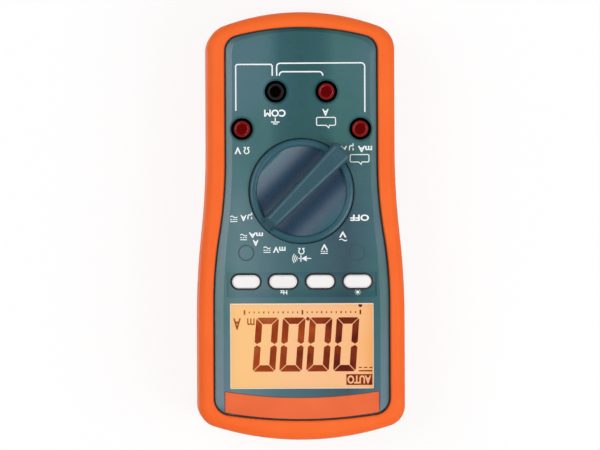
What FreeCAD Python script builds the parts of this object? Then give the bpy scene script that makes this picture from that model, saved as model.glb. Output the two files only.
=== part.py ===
"""A hand-held digital multimeter in its rubber holster, built piece by piece.

Frame: the meter lies on its back.  +Z points out of the front panel, +Y towards the display end,
+X to the reader's right.  The origin is the middle of the back face.  All sizes are millimetres.
"""
import FreeCAD
import Part
import Sketcher
import math
import os
from FreeCAD import Placement, Rotation, Vector

# ---------------------------------------------------------------------------------------------
# Driving dimensions.  Heights (names ending in _level) are measured from the back face.
# ---------------------------------------------------------------------------------------------
SIZES = {
    # holster, seen from the front: straight sides, a waist flare and two bowed ends
    "meter_length": 161.8,
    "half_wide": 39.0,           # half the width at the display end
    "waist": 3.57,               # each side is this much further in at the jack end
    "flare_low": -29.0,          # where the sides begin to spread
    "flare_high": 35.0,          # where they are straight again
    "bow_display": 109.0,        # radius of the bowed display end
    "bow_jack": 84.6,            # radius of the bowed jack end
    "corner_display": 8.0,
    "corner_jack": 9.5,
    "holster_top_level": 42.5,
    "holster_wall": 3.2,
    "case_gap": 0.2,             # play between the holster and the meter in it
    "holster_front_round": 3.6,
    "holster_back_round": 4.5,
    "lip_round": 0.9,
    # the lip round the front opening: its width seen from the front
    "lip_width_wide": 5.5,
    "lip_width_narrow": 6.38,
    "lip_width_display": 7.2,
    "lip_width_jack": 5.7,
    "lip_flare_low": -24.0,
    "lip_flare_high": 29.5,
    "lip_bow_display": 185.0,
    "lip_bow_jack": 98.0,
    "lip_corner_display": 6.5,
    "lip_corner_jack": 6.0,
    # back of the holster: two channels for the test probes beside the stand's pocket
    "channel_x": 28.0,
    "channel_level": 2.4,
    "channel_radius": 4.2,
    "channel_low": -12.0,
    # meter case
    "case_back_level": 8.0,
    "split_level": 22.0,         # where the two case halves meet
    "case_wall": 2.2,
    "floor_thick": 2.6,
    "bevel_level": 39.6,         # the bevel round the panel starts here
    "panel_level": 41.0,         # the flat of the front panel
    "panel_thick": 2.8,
    "bevel_width": 5.9,
    "bevel_display": 2.9,
    "bevel_jack": 3.9,
    "shoulder_inset": 3.6,       # inside of the case, level with the bevel
    "shoulder_level": 36.0,
    "flank_ledge": 1.1,          # flat left beside the door before the flank's 45 degrees
    "tongue_height": 1.5,
    "tongue_thick": 1.0,
    "fit_gap": 0.1,
    # display
    "display_setback": 35.5,     # from the holster's end to the middle of the window
    "window_width": 54.4,
    "window_height": 32.3,
    "window_round": 0.8,
    "lens_margin": 1.5,
    "lens_flange": 1.4,
    "lens_sunk": 0.5,
    "cell_width": 60.0,
    "cell_height": 38.0,
    "cell_thick": 2.2,
    "cell_gap": 1.3,             # from the panel's underside down to the glass
    "backlight_width": 54.0,
    "backlight_height": 31.0,
    "backlight_thick": 2.2,
    "bezel_wall": 1.2,
    "bezel_lip": 2.0,
    "bezel_lip_thick": 0.9,
    "zebra_length": 50.0,
    "zebra_width": 2.0,
    # name plate above the display
    "plate_half_width": 29.3,
    "plate_to_window": 3.25,
    "plate_to_lip": 0.4,
    "plate_bow_low": 176.0,
    "plate_bow_high": 160.0,
    "plate_thick": 0.8,
    # selector dial
    "dial_y": -13.15,
    "dial_radius": 19.65,
    "dial_gap": 0.45,
    "dial_well_depth": 2.4,
    "dial_well_floor": 1.8,
    "dial_rim_width": 2.7,
    "dial_rim_proud": 2.0,
    "dial_angle": 45.0,          # pointer, clockwise from the display end
    "dial_step": 22.5,           # from one switch position to the next
    "dish_radius": 25.0,
    "dish_offset": 6.5,
    "dish_level": 40.4,
    "grip_top_level": 50.0,
    "grip_tip_y": 19.2,
    "grip_tail_y": 22.3,
    "grip_bend_y": 16.5,         # where the top of the grip starts to fall away to the tip
    "grip_tip_level": 48.5,
    "grip_nose_level": 43.2,
    "grip_tip_half": 2.5,        # half widths across the top of the grip
    "grip_tail_half": 4.0,
    "grip_draft": 0.5,
    "grip_round": 1.5,
    "grip_overhang_level": 41.5,
    "shaft_radius": 6.34,
    "shaft_play": 0.06,
    "square_side": 8.0,
    "rotor_radius": 16.5,
    "rotor_thick": 3.0,
    "stop_radius": 13.4,
    "stop_peg": 1.1,
    "stop_margin": 6.2,          # degrees beyond the last position at each end of the groove
    "roller_radius": 1.1,
    "roller_place": 16.3,
    "roller_height": 2.2,
    "roller_play": 0.05,
    "nest_inner": 10.0,
    "wiper_drop": 0.3,
    "detent_wall": 2.8,
    "detent_height": 2.5,
    "notch_radius": 1.4,
    # keys
    "key_to_window": 8.25,
    "key_pitch": 14.06,
    "key_width": 10.4,
    "key_height": 4.9,
    "key_gap": 0.45,
    "key_top_level": 42.0,
    "key_flange": 0.8,
    "key_flange_thick": 1.0,
    "key_stem_radius": 1.5,
    "key_travel": 0.8,
    "key_edge": 0.5,
    "trough_shift": 1.2,         # the trough's middle lies this far beyond the keys' own
    "trough_half": 4.8,
    "trough_deep": 1.0,
    "trough_length": 56.6,
    # input jacks
    "jack_inner_x": 9.6,
    "jack_inner_setback": 30.1,  # from the holster's end
    "jack_outer_x": 22.4,
    "jack_outer_setback": 44.2,
    "jack_hole_radius": 4.2,
    "jack_hole_bevel": 0.75,
    "jack_shroud_wall": 1.2,
    "jack_shroud_level": 21.0,
    "jack_shroud_floor": 1.4,
    "sleeve_radius": 3.0,
    "sleeve_sunk": 1.0,
    "sleeve_lip": 5.5,
    "socket_outer": 2.65,
    "socket_bore": 2.05,
    "socket_bottom_level": 19.5,
    "socket_blind": 2.5,
    # circuit board and what it carries
    "board_top_level": 32.2,
    "board_thick": 1.6,
    "board_gap": 0.9,
    "small_gap": 0.3,
    # screws and bosses
    "boss_x": 20.0,
    "boss_display_setback": 11.5,
    "boss_jack_setback": 11.7,
    "boss_radius": 2.6,
    "pilot_radius": 1.25,
    "screw_radius": 1.2,
    "screw_head_radius": 2.4,
    "screw_head": 1.6,
    "counterbore_radius": 2.7,
    "counterbore_deep": 4.0,
    "board_boss_x": 21.0,
    "board_boss_to_key": 10.9,
    "sink_mark_radius": 2.8,
    "sink_mark_deep": 0.15,
    # battery and fuse compartment
    "door_thick": 1.6,
    "door_play": 0.2,
    "door_ledge": 0.9,
    "door_screw_y": -30.4,
    "door_screw_room": 3.7,
    "door_tongue": 1.4,
    "door_tongue_x": 14.0,
    "door_tongue_half": 4.0,
    "door_pad_radius": 3.2,
    "door_pad_rise": 0.6,
    "screw_seat": 1.2,
    "case_screw_length": 18.0,
    "board_screw_length": 5.5,
    "door_screw_length": 8.5,
    "cell_radius": 5.25,
    "cell_length": 43.3,
    "cell_nub": 1.2,
    "cell_level": 15.3,
    "battery_y": 18.1,
    "cell_apart": 0.6,
    "cell_spring": 3.7,          # room for the leaf spring behind each cell
    "tray_wall": 1.4,
    "tray_top_level": 22.4,
    "terminal_thick": 0.4,
    "fuse_big_y": -19.5,
    "fuse_big_radius": 5.15,
    "fuse_big_length": 38.0,
    "fuse_small_y": -4.0,
    "fuse_small_radius": 3.2,
    "fuse_small_length": 32.0,
    "clip_width": 6.0,
    "clip_thick": 0.5,
    "cap_length": 8.0,
    # parts on the board
    "chip_half": 7.0,
    "chip_thick": 1.6,
    "chip_lead": 1.2,
    "buzzer_radius": 8.0,
    "buzzer_height": 3.5,
    "capacitor_radius": 2.6,
    "capacitor_height": 6.5,
    "varistor_radius": 3.6,
    "varistor_thick": 3.0,
    "relay_length": 12.0,
    "relay_height": 5.0,
    "shunt_half": 7.0,
    "shunt_drop": 5.0,
    "shunt_radius": 0.9,
    "lug_half": 1.6,
    "lug_thick": 0.8,
    # tilt stand
    "stand_half_width": 19.2,
    "stand_hinge_y": 25.6,
    "stand_level": 0.5,
    "stand_thick": 3.8,
    "stand_reach": 70.0,
    "stand_side_gap": 0.4,
    "stand_heel_gap": 1.1,
    "stand_roof_gap": 0.7,
    "stand_nail_gap": 2.8,
    "stand_frame": 7.0,
    "stand_corner": 6.0,
    "stand_pin_radius": 1.5,
    "stand_pin_play": 0.08,
    "stand_pin_reach": 2.4,
}

doc = FreeCAD.newDocument("multimeter")
sheet = doc.addObject("Spreadsheet::Sheet", "dims")
for row, (alias, number) in enumerate(SIZES.items(), start=1):
    sheet.set(f"A{row}", str(number))
    sheet.setAlias(f"A{row}", alias)
doc.recompute()


class Size:
    """A number together with the spreadsheet formula that gives it."""

    def __init__(self, value, formula):
        self.value = float(value)
        self.formula = formula

    def __add__(self, other):
        other = size(other)
        return Size(self.value + other.value, f"({self.formula} + {other.formula})")

    def __sub__(self, other):
        other = size(other)
        return Size(self.value - other.value, f"({self.formula} - {other.formula})")

    def __mul__(self, other):
        other = size(other)
        return Size(self.value * other.value, f"({self.formula} * {other.formula})")

    def __truediv__(self, other):
        other = size(other)
        return Size(self.value / other.value, f"({self.formula} / {other.formula})")

    def __neg__(self):
        return Size(-self.value, f"(0 - {self.formula})")

    def __radd__(self, other):
        return size(other) + self

    def __rsub__(self, other):
        return size(other) - self

    def __rmul__(self, other):
        return size(other) * self

    def root(self):
        return Size(math.sqrt(self.value), f"sqrt({self.formula})")


def size(number):
    """A plain number as a Size; a Size as it is."""
    return number if isinstance(number, Size) else Size(number, repr(float(number)))


class Dimensions:
    """The sheet's cells as Sizes: d.half_wide is the cell named half_wide."""

    def __getattr__(self, alias):
        return Size(SIZES[alias], f"dims.{alias}")


d = Dimensions()
FINISHED = {}        # label of a sub-part -> the document object that holds its final shape


def finish(label, thing):
    """Names a finished sub-part: its label is the name of the file written for it."""
    thing.Label = label
    FINISHED[label] = thing
    return thing


def bind(thing, **formulas):
    """Ties properties of a document object to the sheet: bind(box, Length=d.foo)."""
    for name, value in formulas.items():
        thing.setExpression(name.replace("__", "."), size(value).formula)
    return thing


def move(thing, x=0, y=0, z=0, turn=None, about=Vector(0, 0, 1)):
    """Places an object, and turns it by an angle about an axis through its own origin."""
    if turn is not None:
        thing.Placement = Placement(Vector(), Rotation(about, size(turn).value))
        bind(thing, Placement__Rotation__Angle=turn)
    return bind(thing, Placement__Base__x=x, Placement__Base__y=y, Placement__Base__z=z)


# --- plain solids and booleans ----------------------------------------------------------------
def box(name, x0, x1, y0, y1, z0, z1):
    """A block between two corners."""
    block = doc.addObject("Part::Box", name)
    bind(block, Length=size(x1) - x0, Width=size(y1) - y0, Height=size(z1) - z0)
    return move(block, x0, y0, z0)


def rod(name, x, y, z0, z1, radius):
    """An upright cylinder."""
    cylinder = doc.addObject("Part::Cylinder", name)
    bind(cylinder, Radius=radius, Height=size(z1) - z0)
    return move(cylinder, x, y, z0)


def rod_along(name, axis, start, length, radius):
    """A cylinder that lies along X or Y, from the point start."""
    cylinder = doc.addObject("Part::Cylinder", name)
    bind(cylinder, Radius=radius, Height=length)
    about, turn = {"x": (Vector(0, 1, 0), 90.0), "y": (Vector(1, 0, 0), -90.0)}[axis]
    return move(cylinder, *start, turn=turn, about=about)


def cut(name, base, *tools):
    """base without the tools."""
    tool = tools[0] if len(tools) == 1 else fuse(name + "_tools", *tools)
    result = doc.addObject("Part::Cut", name)
    result.Base = base
    result.Tool = tool
    return result


def fuse(name, *parts):
    result = doc.addObject("Part::MultiFuse", name)
    result.Shapes = list(parts)
    return result


def common(name, *parts):
    result = doc.addObject("Part::MultiCommon", name)
    result.Shapes = list(parts)
    return result


def group(name, parts):
    """Several separate solids that go by one name."""
    result = doc.addObject("Part::Compound", name)
    result.Links = list(parts)
    return result


# --- bodies made of sketches and features ------------------------------------------------------
class Drawing:
    """A sketch whose points and radii are all held by the sheet."""

    def __init__(self, sketch):
        self.sketch = sketch

    def hold(self, kind, *where, at):
        """Adds a dimension and ties it to its formula."""
        number = self.sketch.addConstraint(Sketcher.Constraint(kind, *where, size(at).value))
        self.sketch.setExpression(f"Constraints[{number}]", size(at).formula)

    def hold_point(self, item, end, x, y):
        self.hold("DistanceX", -1, 1, item, end, at=x)
        self.hold("DistanceY", -1, 1, item, end, at=y)

    def circle(self, x, y, radius):
        centre = Vector(size(x).value, size(y).value, 0)
        item = self.sketch.addGeometry(Part.Circle(centre, Vector(0, 0, 1), size(radius).value))
        self.hold("Radius", item, at=radius)
        self.hold_point(item, 3, x, y)

    def polygon(self, *points):
        """A closed shape with straight sides through the given points."""
        spots = [Vector(size(x).value, size(y).value, 0) for x, y in points]
        pairs = zip(spots, spots[1:] + spots[:1])
        lines = [self.sketch.addGeometry(Part.LineSegment(a, b)) for a, b in pairs]
        for here, there in zip(lines, lines[1:] + lines[:1]):
            self.sketch.addConstraint(Sketcher.Constraint("Coincident", here, 2, there, 1))
        for line, (x, y) in zip(lines, points):
            self.hold_point(line, 1, x, y)

    def rectangle(self, x0, x1, y0, y1):
        self.polygon((x0, y0), (x1, y0), (x1, y1), (x0, y1))

    def loop(self, curves, joints, smooth=True):
        """Joins curves end to end. joints lists (curve, end, next curve, its end)."""
        items = [self.sketch.addGeometry(curve) for curve in curves]
        for a, a_end, b, b_end in joints:
            kind = "Tangent" if smooth else "Coincident"
            self.sketch.addConstraint(Sketcher.Constraint(kind, items[a], a_end, items[b], b_end))
        return items

    def stadium(self, x, y, width, height):
        """A slot shape, longer along x, with round ends."""
        radius = size(height) / 2
        reach = size(width) / 2 - radius
        left, right = size(x) - reach, size(x) + reach
        low, high = size(y).value - radius.value, size(y).value + radius.value
        curves = [
            arc(right.value, size(y).value, radius.value, -90, 90),
            Part.LineSegment(Vector(right.value, high, 0), Vector(left.value, high, 0)),
            arc(left.value, size(y).value, radius.value, 90, 270),
            Part.LineSegment(Vector(left.value, low, 0), Vector(right.value, low, 0)),
        ]
        items = self.loop(curves, [(0, 2, 1, 1), (1, 2, 2, 1), (2, 2, 3, 1), (3, 2, 0, 1)])
        self.hold("Radius", items[0], at=radius)
        self.hold_point(items[0], 3, right, y)
        self.hold_point(items[2], 3, left, y)

    def bowed_strip(self, half_width, low, high, bow_low, bow_high):
        """A strip with upright ends whose long edges are arcs that bulge towards +y."""
        reach, low, high = size(half_width), size(low), size(high)
        drop_low = bow_low - (bow_low * bow_low - reach * reach).root()
        drop_high = bow_high - (bow_high * bow_high - reach * reach).root()
        w, y_low, y_high = reach.value, (low - drop_low).value, (high - drop_high).value
        a_low = math.degrees(math.asin(w / bow_low.value))
        a_high = math.degrees(math.asin(w / bow_high.value))
        curves = [
            Part.LineSegment(Vector(w, y_low, 0), Vector(w, y_high, 0)),
            arc(0, (high - bow_high).value, bow_high.value, 90 - a_high, 90 + a_high),
            Part.LineSegment(Vector(-w, y_high, 0), Vector(-w, y_low, 0)),
            arc(0, (low - bow_low).value, bow_low.value, 90 - a_low, 90 + a_low),
        ]
        joints = [(0, 2, 1, 1), (1, 2, 2, 1), (2, 2, 3, 2), (3, 1, 0, 1)]
        items = self.loop(curves, joints, smooth=False)
        self.hold_point(items[0], 1, reach, low - drop_low)
        self.hold("DistanceX", -1, 1, items[0], 2, at=reach)
        self.hold("DistanceX", -1, 1, items[2], 1, at=-reach)
        self.hold("DistanceX", -1, 1, items[2], 2, at=-reach)
        self.hold_point(items[1], 3, 0, high - bow_high)
        self.hold_point(items[3], 3, 0, low - bow_low)
        self.hold("Radius", items[1], at=bow_high)


def arc(x, y, radius, start, end):
    """An arc, counterclockwise from one angle to another, in degrees."""
    circle = Part.Circle(Vector(x, y, 0), Vector(0, 0, 1), radius)
    return Part.ArcOfCircle(circle, math.radians(start), math.radians(end))


class Outline:
    """The meter's waisted shape: straight sides that flare, bowed ends and round corners."""

    def __init__(self, wide, narrow, flare, ends, bows, corners):
        self.wide, self.narrow = wide, narrow
        self.flare_low, self.flare_high = flare
        self.display_end, self.jack_end = ends
        self.display_bow, self.jack_bow = bows
        self.display_corner, self.jack_corner = corners

    def inset(self, gap, least_corner=1.0):
        """The same outline, smaller by gap all round."""
        corners = [
            corner - gap if corner.value - size(gap).value > least_corner else size(least_corner)
            for corner in (self.display_corner, self.jack_corner)
        ]
        return Outline(
            self.wide - gap,
            self.narrow - gap,
            (self.flare_low, self.flare_high),
            (self.display_end - gap, self.jack_end - gap),
            (self.display_bow - gap, self.jack_bow - gap),
            corners,
        )

    def draw(self, drawing):
        """Adds the closed outline to a sketch: fourteen lines and arcs, each tangent to the next."""
        wide, narrow = self.wide.value, self.narrow.value
        low, high = self.flare_low.value, self.flare_high.value
        top = end_points(wide, self.display_end.value, self.display_bow.value, self.display_corner.value)
        foot = end_points(narrow, self.jack_end.value, self.jack_bow.value, self.jack_corner.value)
        swing = ((wide - narrow) ** 2 + (high - low) ** 2) / (4 * (wide - narrow))
        lean = math.degrees(math.asin((high - low) / 2 / swing))
        curves = [
            Part.LineSegment(Vector(narrow, -foot["side"], 0), Vector(narrow, low, 0)),
            arc(narrow + swing, low, swing, 180 - lean, 180),
            arc(wide - swing, high, swing, -lean, 0),
            Part.LineSegment(Vector(wide, high, 0), Vector(wide, top["side"], 0)),
            arc(wide - top["corner"], top["side"], top["corner"], 0, top["angle"]),
            arc(0, top["centre"], top["bow"], top["angle"], 180 - top["angle"]),
            arc(top["corner"] - wide, top["side"], top["corner"], 180 - top["angle"], 180),
            Part.LineSegment(Vector(-wide, top["side"], 0), Vector(-wide, high, 0)),
            arc(swing - wide, high, swing, 180, 180 + lean),
            arc(-narrow - swing, low, swing, 0, lean),
            Part.LineSegment(Vector(-narrow, low, 0), Vector(-narrow, -foot["side"], 0)),
            arc(foot["corner"] - narrow, -foot["side"], foot["corner"], 180, 360 - foot["mirror"]),
            arc(0, -foot["centre"], foot["bow"], 360 - foot["mirror"], 360 - foot["angle"]),
            arc(narrow - foot["corner"], -foot["side"], foot["corner"], -foot["angle"], 0),
        ]
        joints = [
            (0, 2, 1, 2), (1, 1, 2, 1), (2, 2, 3, 1), (3, 2, 4, 1), (4, 2, 5, 1), (5, 2, 6, 1),
            (6, 2, 7, 1), (7, 2, 8, 1), (8, 2, 9, 2), (9, 1, 10, 1), (10, 2, 11, 1),
            (11, 2, 12, 1), (12, 2, 13, 1), (13, 2, 0, 1),
        ]
        n = drawing.loop(curves, joints)
        for line in (n[0], n[3], n[7], n[10]):
            drawing.sketch.addConstraint(Sketcher.Constraint("Vertical", line))
        for first, second in ((n[1], n[2]), (n[8], n[9])):
            drawing.sketch.addConstraint(Sketcher.Constraint("Equal", first, second))
        for item, radius in (
            (n[5], self.display_bow), (n[12], self.jack_bow),
            (n[4], self.display_corner), (n[6], self.display_corner),
            (n[11], self.jack_corner), (n[13], self.jack_corner),
        ):
            drawing.hold("Radius", item, at=radius)
        drawing.hold("DistanceX", -1, 1, n[0], 1, at=self.narrow)
        drawing.hold("DistanceX", -1, 1, n[3], 1, at=self.wide)
        drawing.hold("DistanceX", -1, 1, n[7], 1, at=-self.wide)
        drawing.hold("DistanceX", -1, 1, n[10], 1, at=-self.narrow)
        drawing.hold("DistanceY", -1, 1, n[0], 2, at=self.flare_low)
        drawing.hold("DistanceY", -1, 1, n[3], 1, at=self.flare_high)
        drawing.hold("DistanceY", -1, 1, n[7], 2, at=self.flare_high)
        drawing.hold("DistanceY", -1, 1, n[10], 1, at=self.flare_low)
        drawing.hold_point(n[5], 3, 0, self.display_end - self.display_bow)
        drawing.hold_point(n[12], 3, 0, self.jack_bow - self.jack_end)


def end_points(half, end, bow, corner):
    """Where a bowed end and its corners meet: distances from the middle and the meeting angle."""
    centre = end - bow
    side = centre + math.sqrt((bow - corner) ** 2 - (half - corner) ** 2)
    angle = math.degrees(math.atan2(side - centre, half - corner))
    return {"centre": centre, "side": side, "angle": angle, "mirror": 180 - angle,
            "bow": bow, "corner": corner}


class Piece:
    """A PartDesign body, built up feature by feature."""

    PLANES = {"top": "XY_Plane", "front": "XZ_Plane", "side": "YZ_Plane"}

    def __init__(self, name):
        self.body = doc.addObject("PartDesign::Body", name)
        self.count = 0

    def name(self, kind):
        self.count += 1
        return f"{self.body.Name}_{kind}_{self.count}"

    def sketch(self, plane="top", height=0):
        """A new drawing on one of the body's own planes, shifted along that plane's normal."""
        sketch = self.body.newObject("Sketcher::SketchObject", self.name("sketch"))
        role = self.PLANES[plane]
        support = [f for f in self.body.Origin.OriginFeatures if f.Role == role][0]
        sketch.AttachmentSupport = [(support, "")]
        sketch.MapMode = "FlatFace"
        sketch.AttachmentOffset = Placement(Vector(0, 0, size(height).value), Rotation())
        bind(sketch, AttachmentOffset__Base__z=height)
        return Drawing(sketch)

    def _extrude(self, kind, drawing, length, reverse, both, taper):
        feature = self.body.newObject("PartDesign::" + kind, self.name(kind.lower()))
        feature.Profile = drawing.sketch
        feature.Reversed = reverse
        if both:
            feature.SideType = "Symmetric"
        bind(feature, Length=length)
        if taper:
            bind(feature, TaperAngle=taper)
        doc.recompute()
        return feature

    def pad(self, drawing, length, reverse=False, both=False, taper=None):
        return self._extrude("Pad", drawing, length, reverse, both, taper)

    def pocket(self, drawing, depth, reverse=False, both=False, taper=None):
        """Cuts against the sketch's normal, or along it if reverse; checks that it cut something."""
        before = self.body.Shape.Volume
        feature = self._extrude("Pocket", drawing, depth, reverse, both, taper)
        if before - self.body.Shape.Volume < 1e-3:
            raise RuntimeError(f"{feature.Name} cuts nothing")
        return feature

    def turn(self, drawing, kind="Revolution", axis="V_Axis"):
        feature = self.body.newObject("PartDesign::" + kind, self.name(kind.lower()))
        feature.Profile = drawing.sketch
        feature.ReferenceAxis = (drawing.sketch, [axis])
        feature.Angle = 360
        doc.recompute()
        return feature

    def loft(self, first, *others):
        feature = self.body.newObject("PartDesign::AdditiveLoft", self.name("loft"))
        feature.Profile = first.sketch
        feature.Sections = [other.sketch for other in others]
        feature.Ruled = True
        doc.recompute()
        return feature

    def dress(self, kind, radius, chosen):
        """Fillets or chamfers each edge of the body so far for which chosen(edge) is true."""
        tip = self.body.Tip
        names = [f"Edge{i}" for i, edge in enumerate(tip.Shape.Edges, start=1) if chosen(edge)]
        feature = self.body.newObject("PartDesign::" + kind, self.name(kind.lower()))
        feature.Base = (tip, names)
        bind(feature, **{"Radius" if kind == "Fillet" else "Size": radius})
        doc.recompute()
        return feature

    def fillet(self, radius, chosen):
        return self.dress("Fillet", radius, chosen)

    def chamfer(self, length, chosen):
        return self.dress("Chamfer", length, chosen)


def level(edge, height):
    """True for an edge that lies flat at a height."""
    bounds = edge.BoundBox
    return abs(bounds.ZMin - size(height).value) < 1e-4 and abs(bounds.ZMax - size(height).value) < 1e-4


def reaches(edge, x):
    """The farthest that an edge gets from the plane x = 0 is at least x."""
    return max(abs(edge.BoundBox.XMin), abs(edge.BoundBox.XMax)) >= size(x).value


def slab(name, shape, z0, z1):
    """An outline extruded from one height to another."""
    piece = Piece(name)
    drawing = piece.sketch(height=z0)
    shape.draw(drawing)
    piece.pad(drawing, size(z1) - z0)
    return piece


def turned(name, profile, x=0, y=0):
    """A solid of revolution about an upright axis, from its (radius, height) profile."""
    piece = Piece(name)
    drawing = piece.sketch("front")
    drawing.polygon(*profile)
    piece.turn(drawing)
    move(piece.body, x, y)
    return piece.body


# ---------------------------------------------------------------------------------------------
# Sizes that follow from the driving ones
# ---------------------------------------------------------------------------------------------
half_length = d.meter_length / 2
case_inset = d.holster_wall + d.case_gap
panel_under = d.panel_level - d.panel_thick
well_floor = d.panel_level - d.dial_well_depth           # what the dial's skirt turns over
well_under = well_floor - d.dial_well_floor
board_under = d.board_top_level - d.board_thick
skirt_level = well_floor + d.small_gap
rim_level = d.panel_level + d.dial_rim_proud
rotor_top = well_under - d.small_gap
rotor_under = rotor_top - d.rotor_thick
cell_top = panel_under - d.cell_gap
cell_under = cell_top - d.cell_thick
floor_level = d.case_back_level + d.floor_thick          # inside floor of the rear case

tongue_inset = d.case_wall - d.tongue_thick              # the tongue follows the inner face

display_y = half_length - d.display_setback
key_y = display_y - d.window_height / 2 - d.key_to_window
board_boss_y = key_y - d.board_boss_to_key
trough_y = key_y + d.trough_shift
trough_radius = (d.trough_half * d.trough_half + d.trough_deep * d.trough_deep) / (
    2 * d.trough_deep)
jack_inner_y = d.jack_inner_setback - half_length
jack_outer_y = d.jack_outer_setback - half_length

contact_half = (d.cell_length + d.cell_nub + d.cell_spring) / 2
tray_half = contact_half + d.terminal_thick + d.fit_gap
tray_reach = 2 * d.cell_radius + d.cell_apart
tray_low = d.battery_y - tray_reach
tray_high = d.battery_y + tray_reach
opening_half = tray_half - d.small_gap
opening_low = d.door_screw_y + d.door_screw_room
door_half = opening_half + d.door_ledge
door_high = tray_high + 2 * d.door_ledge
door_low = d.door_screw_y - d.door_screw_room
flank_start = door_half + d.door_play + d.flank_ledge    # where the rear flanks begin

half_narrow = d.half_wide - d.waist
HOLSTER_OUTLINE = Outline(
    d.half_wide, half_narrow, (d.flare_low, d.flare_high), (half_length, half_length),
    (d.bow_display, d.bow_jack), (d.corner_display, d.corner_jack),
)
LIP_OUTLINE = Outline(
    d.half_wide - d.lip_width_wide, half_narrow - d.lip_width_narrow,
    (d.lip_flare_low, d.lip_flare_high),
    (half_length - d.lip_width_display, half_length - d.lip_width_jack),
    (d.lip_bow_display, d.lip_bow_jack),
    (d.lip_corner_display, d.lip_corner_jack),
)
CASE_OUTLINE = HOLSTER_OUTLINE.inset(case_inset)
INNER_OUTLINE = CASE_OUTLINE.inset(d.case_wall)
PANEL_OUTLINE = Outline(
    CASE_OUTLINE.wide - d.bevel_width, CASE_OUTLINE.narrow - d.bevel_width,
    (d.flare_low, d.flare_high),
    (CASE_OUTLINE.display_end - d.bevel_display, CASE_OUTLINE.jack_end - d.bevel_jack),
    (CASE_OUTLINE.display_bow, CASE_OUTLINE.jack_bow),
    (d.lip_corner_display - 2, d.lip_corner_jack - 1),
)

JACKS = {
    "common": (d.jack_inner_x, jack_inner_y),
    "amp": (-d.jack_inner_x, jack_inner_y),
    "volt": (d.jack_outer_x, jack_outer_y),
    "milliamp": (-d.jack_outer_x, jack_outer_y),
}
SCREWS = [
    (side * d.boss_x, y) for side in (-1, 1)
    for y in (half_length - d.boss_display_setback, d.boss_jack_setback - half_length)
]
BOARD_SCREWS = [(side * d.board_boss_x, board_boss_y) for side in (-1, 1)]
KEYS = {
    "key_select": -1.5,
    "key_range": -0.5,
    "key_hold": 0.5,
    "key_relative": 1.5,
}

# ---------------------------------------------------------------------------------------------
# The outside of the meter and the space inside it
# ---------------------------------------------------------------------------------------------
def trim_flanks(piece, start_level, offset):
    """Cuts both rear flanks away at 45 degrees; offset moves the cut outwards."""
    reach = 14
    start = flank_start - d.case_back_level + start_level + offset * math.sqrt(2)
    for side in (-1, 1):
        drawing = piece.sketch("front")
        drawing.polygon(
            (side * start, start_level),
            (side * (start + reach), start_level),
            (side * (start + reach), start_level + reach),
        )
        piece.pocket(drawing, 2 * d.meter_length, both=True)


def case_block(name, grow):
    """The outside of the meter, all round larger by grow."""
    low = CASE_OUTLINE.inset(-size(grow))
    high = PANEL_OUTLINE.inset(-size(grow))
    piece = slab(name, low, d.case_back_level - grow, d.bevel_level + grow)
    bottom = piece.sketch(height=d.bevel_level + grow)
    low.draw(bottom)
    top = piece.sketch(height=d.panel_level + grow)
    high.draw(top)
    piece.loft(bottom, top)
    trim_flanks(piece, d.case_back_level - grow, size(grow))
    return piece


def hollow_block():
    """The space inside the case, stepped in under the bevel."""
    piece = slab("case_hollow", INNER_OUTLINE, floor_level, d.shoulder_level)
    drawing = piece.sketch(height=d.shoulder_level)
    CASE_OUTLINE.inset(d.shoulder_inset).draw(drawing)
    piece.pad(drawing, panel_under - d.shoulder_level)
    trim_flanks(piece, floor_level, -d.case_wall)
    return piece.body


def half_space(name, z0, z1):
    """Everything between two heights."""
    reach = d.meter_length
    return box(name, -reach, reach, -reach, reach, z0, z1)


def ring_slab(name, outer_inset, inner_inset, z0, z1):
    """A thin wall that follows the case, between two insets."""
    outer = slab(name + "_outside", CASE_OUTLINE.inset(outer_inset), z0, z1)
    inner = slab(name + "_inside", CASE_OUTLINE.inset(inner_inset), size(z0) - 1, size(z1) + 1)
    return cut(name, outer.body, inner.body)


# ---------------------------------------------------------------------------------------------
# Holster: a soft tray with a lip that holds the meter
# ---------------------------------------------------------------------------------------------
def build_holster():
    block = slab("holster_block", HOLSTER_OUTLINE, 0, d.holster_top_level)
    block.fillet(d.holster_front_round, lambda edge: level(edge, d.holster_top_level))
    block.fillet(d.holster_back_round, lambda edge: level(edge, 0))
    meter_space = case_block("meter_space", d.case_gap)
    opening = slab("lip_opening", LIP_OUTLINE, d.bevel_level + 0.3, d.holster_top_level + 1)
    pocket_half = d.stand_half_width + d.stand_side_gap
    heel = d.stand_thick / 2
    pocket = box(
        "stand_pocket", -pocket_half, pocket_half,
        d.stand_hinge_y - d.stand_reach - d.stand_nail_gap,
        d.stand_hinge_y + heel + d.stand_heel_gap,
        -1, d.stand_level + d.stand_thick + d.stand_roof_gap,
    )
    hinge_level = d.stand_level + heel
    socket_reach = d.stand_half_width + d.stand_pin_reach + d.case_gap
    sockets = rod_along(
        "stand_sockets", "x", (-socket_reach, d.stand_hinge_y, hinge_level),
        2 * socket_reach, d.stand_pin_radius + d.stand_pin_play,
    )
    channels = [
        rod_along(
            "probe_channel", "y", (side * d.channel_x, d.channel_low, d.channel_level),
            half_length - d.channel_low + 1, d.channel_radius,
        )
        for side in (-1, 1)
    ]
    shell = cut(
        "holster_shell", block.body, meter_space.body, opening.body, pocket, sockets, *channels
    )
    doc.recompute()
    rim = [
        i for i, edge in enumerate(shell.Shape.Edges, start=1)
        if level(edge, d.holster_top_level) and within(edge, LIP_OUTLINE)
    ]
    rounded = doc.addObject("Part::Fillet", "holster_rounded")
    rounded.Base = shell
    rounded.Edges = [(i, SIZES["lip_round"], SIZES["lip_round"]) for i in rim]
    finish("holster", rounded)


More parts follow.
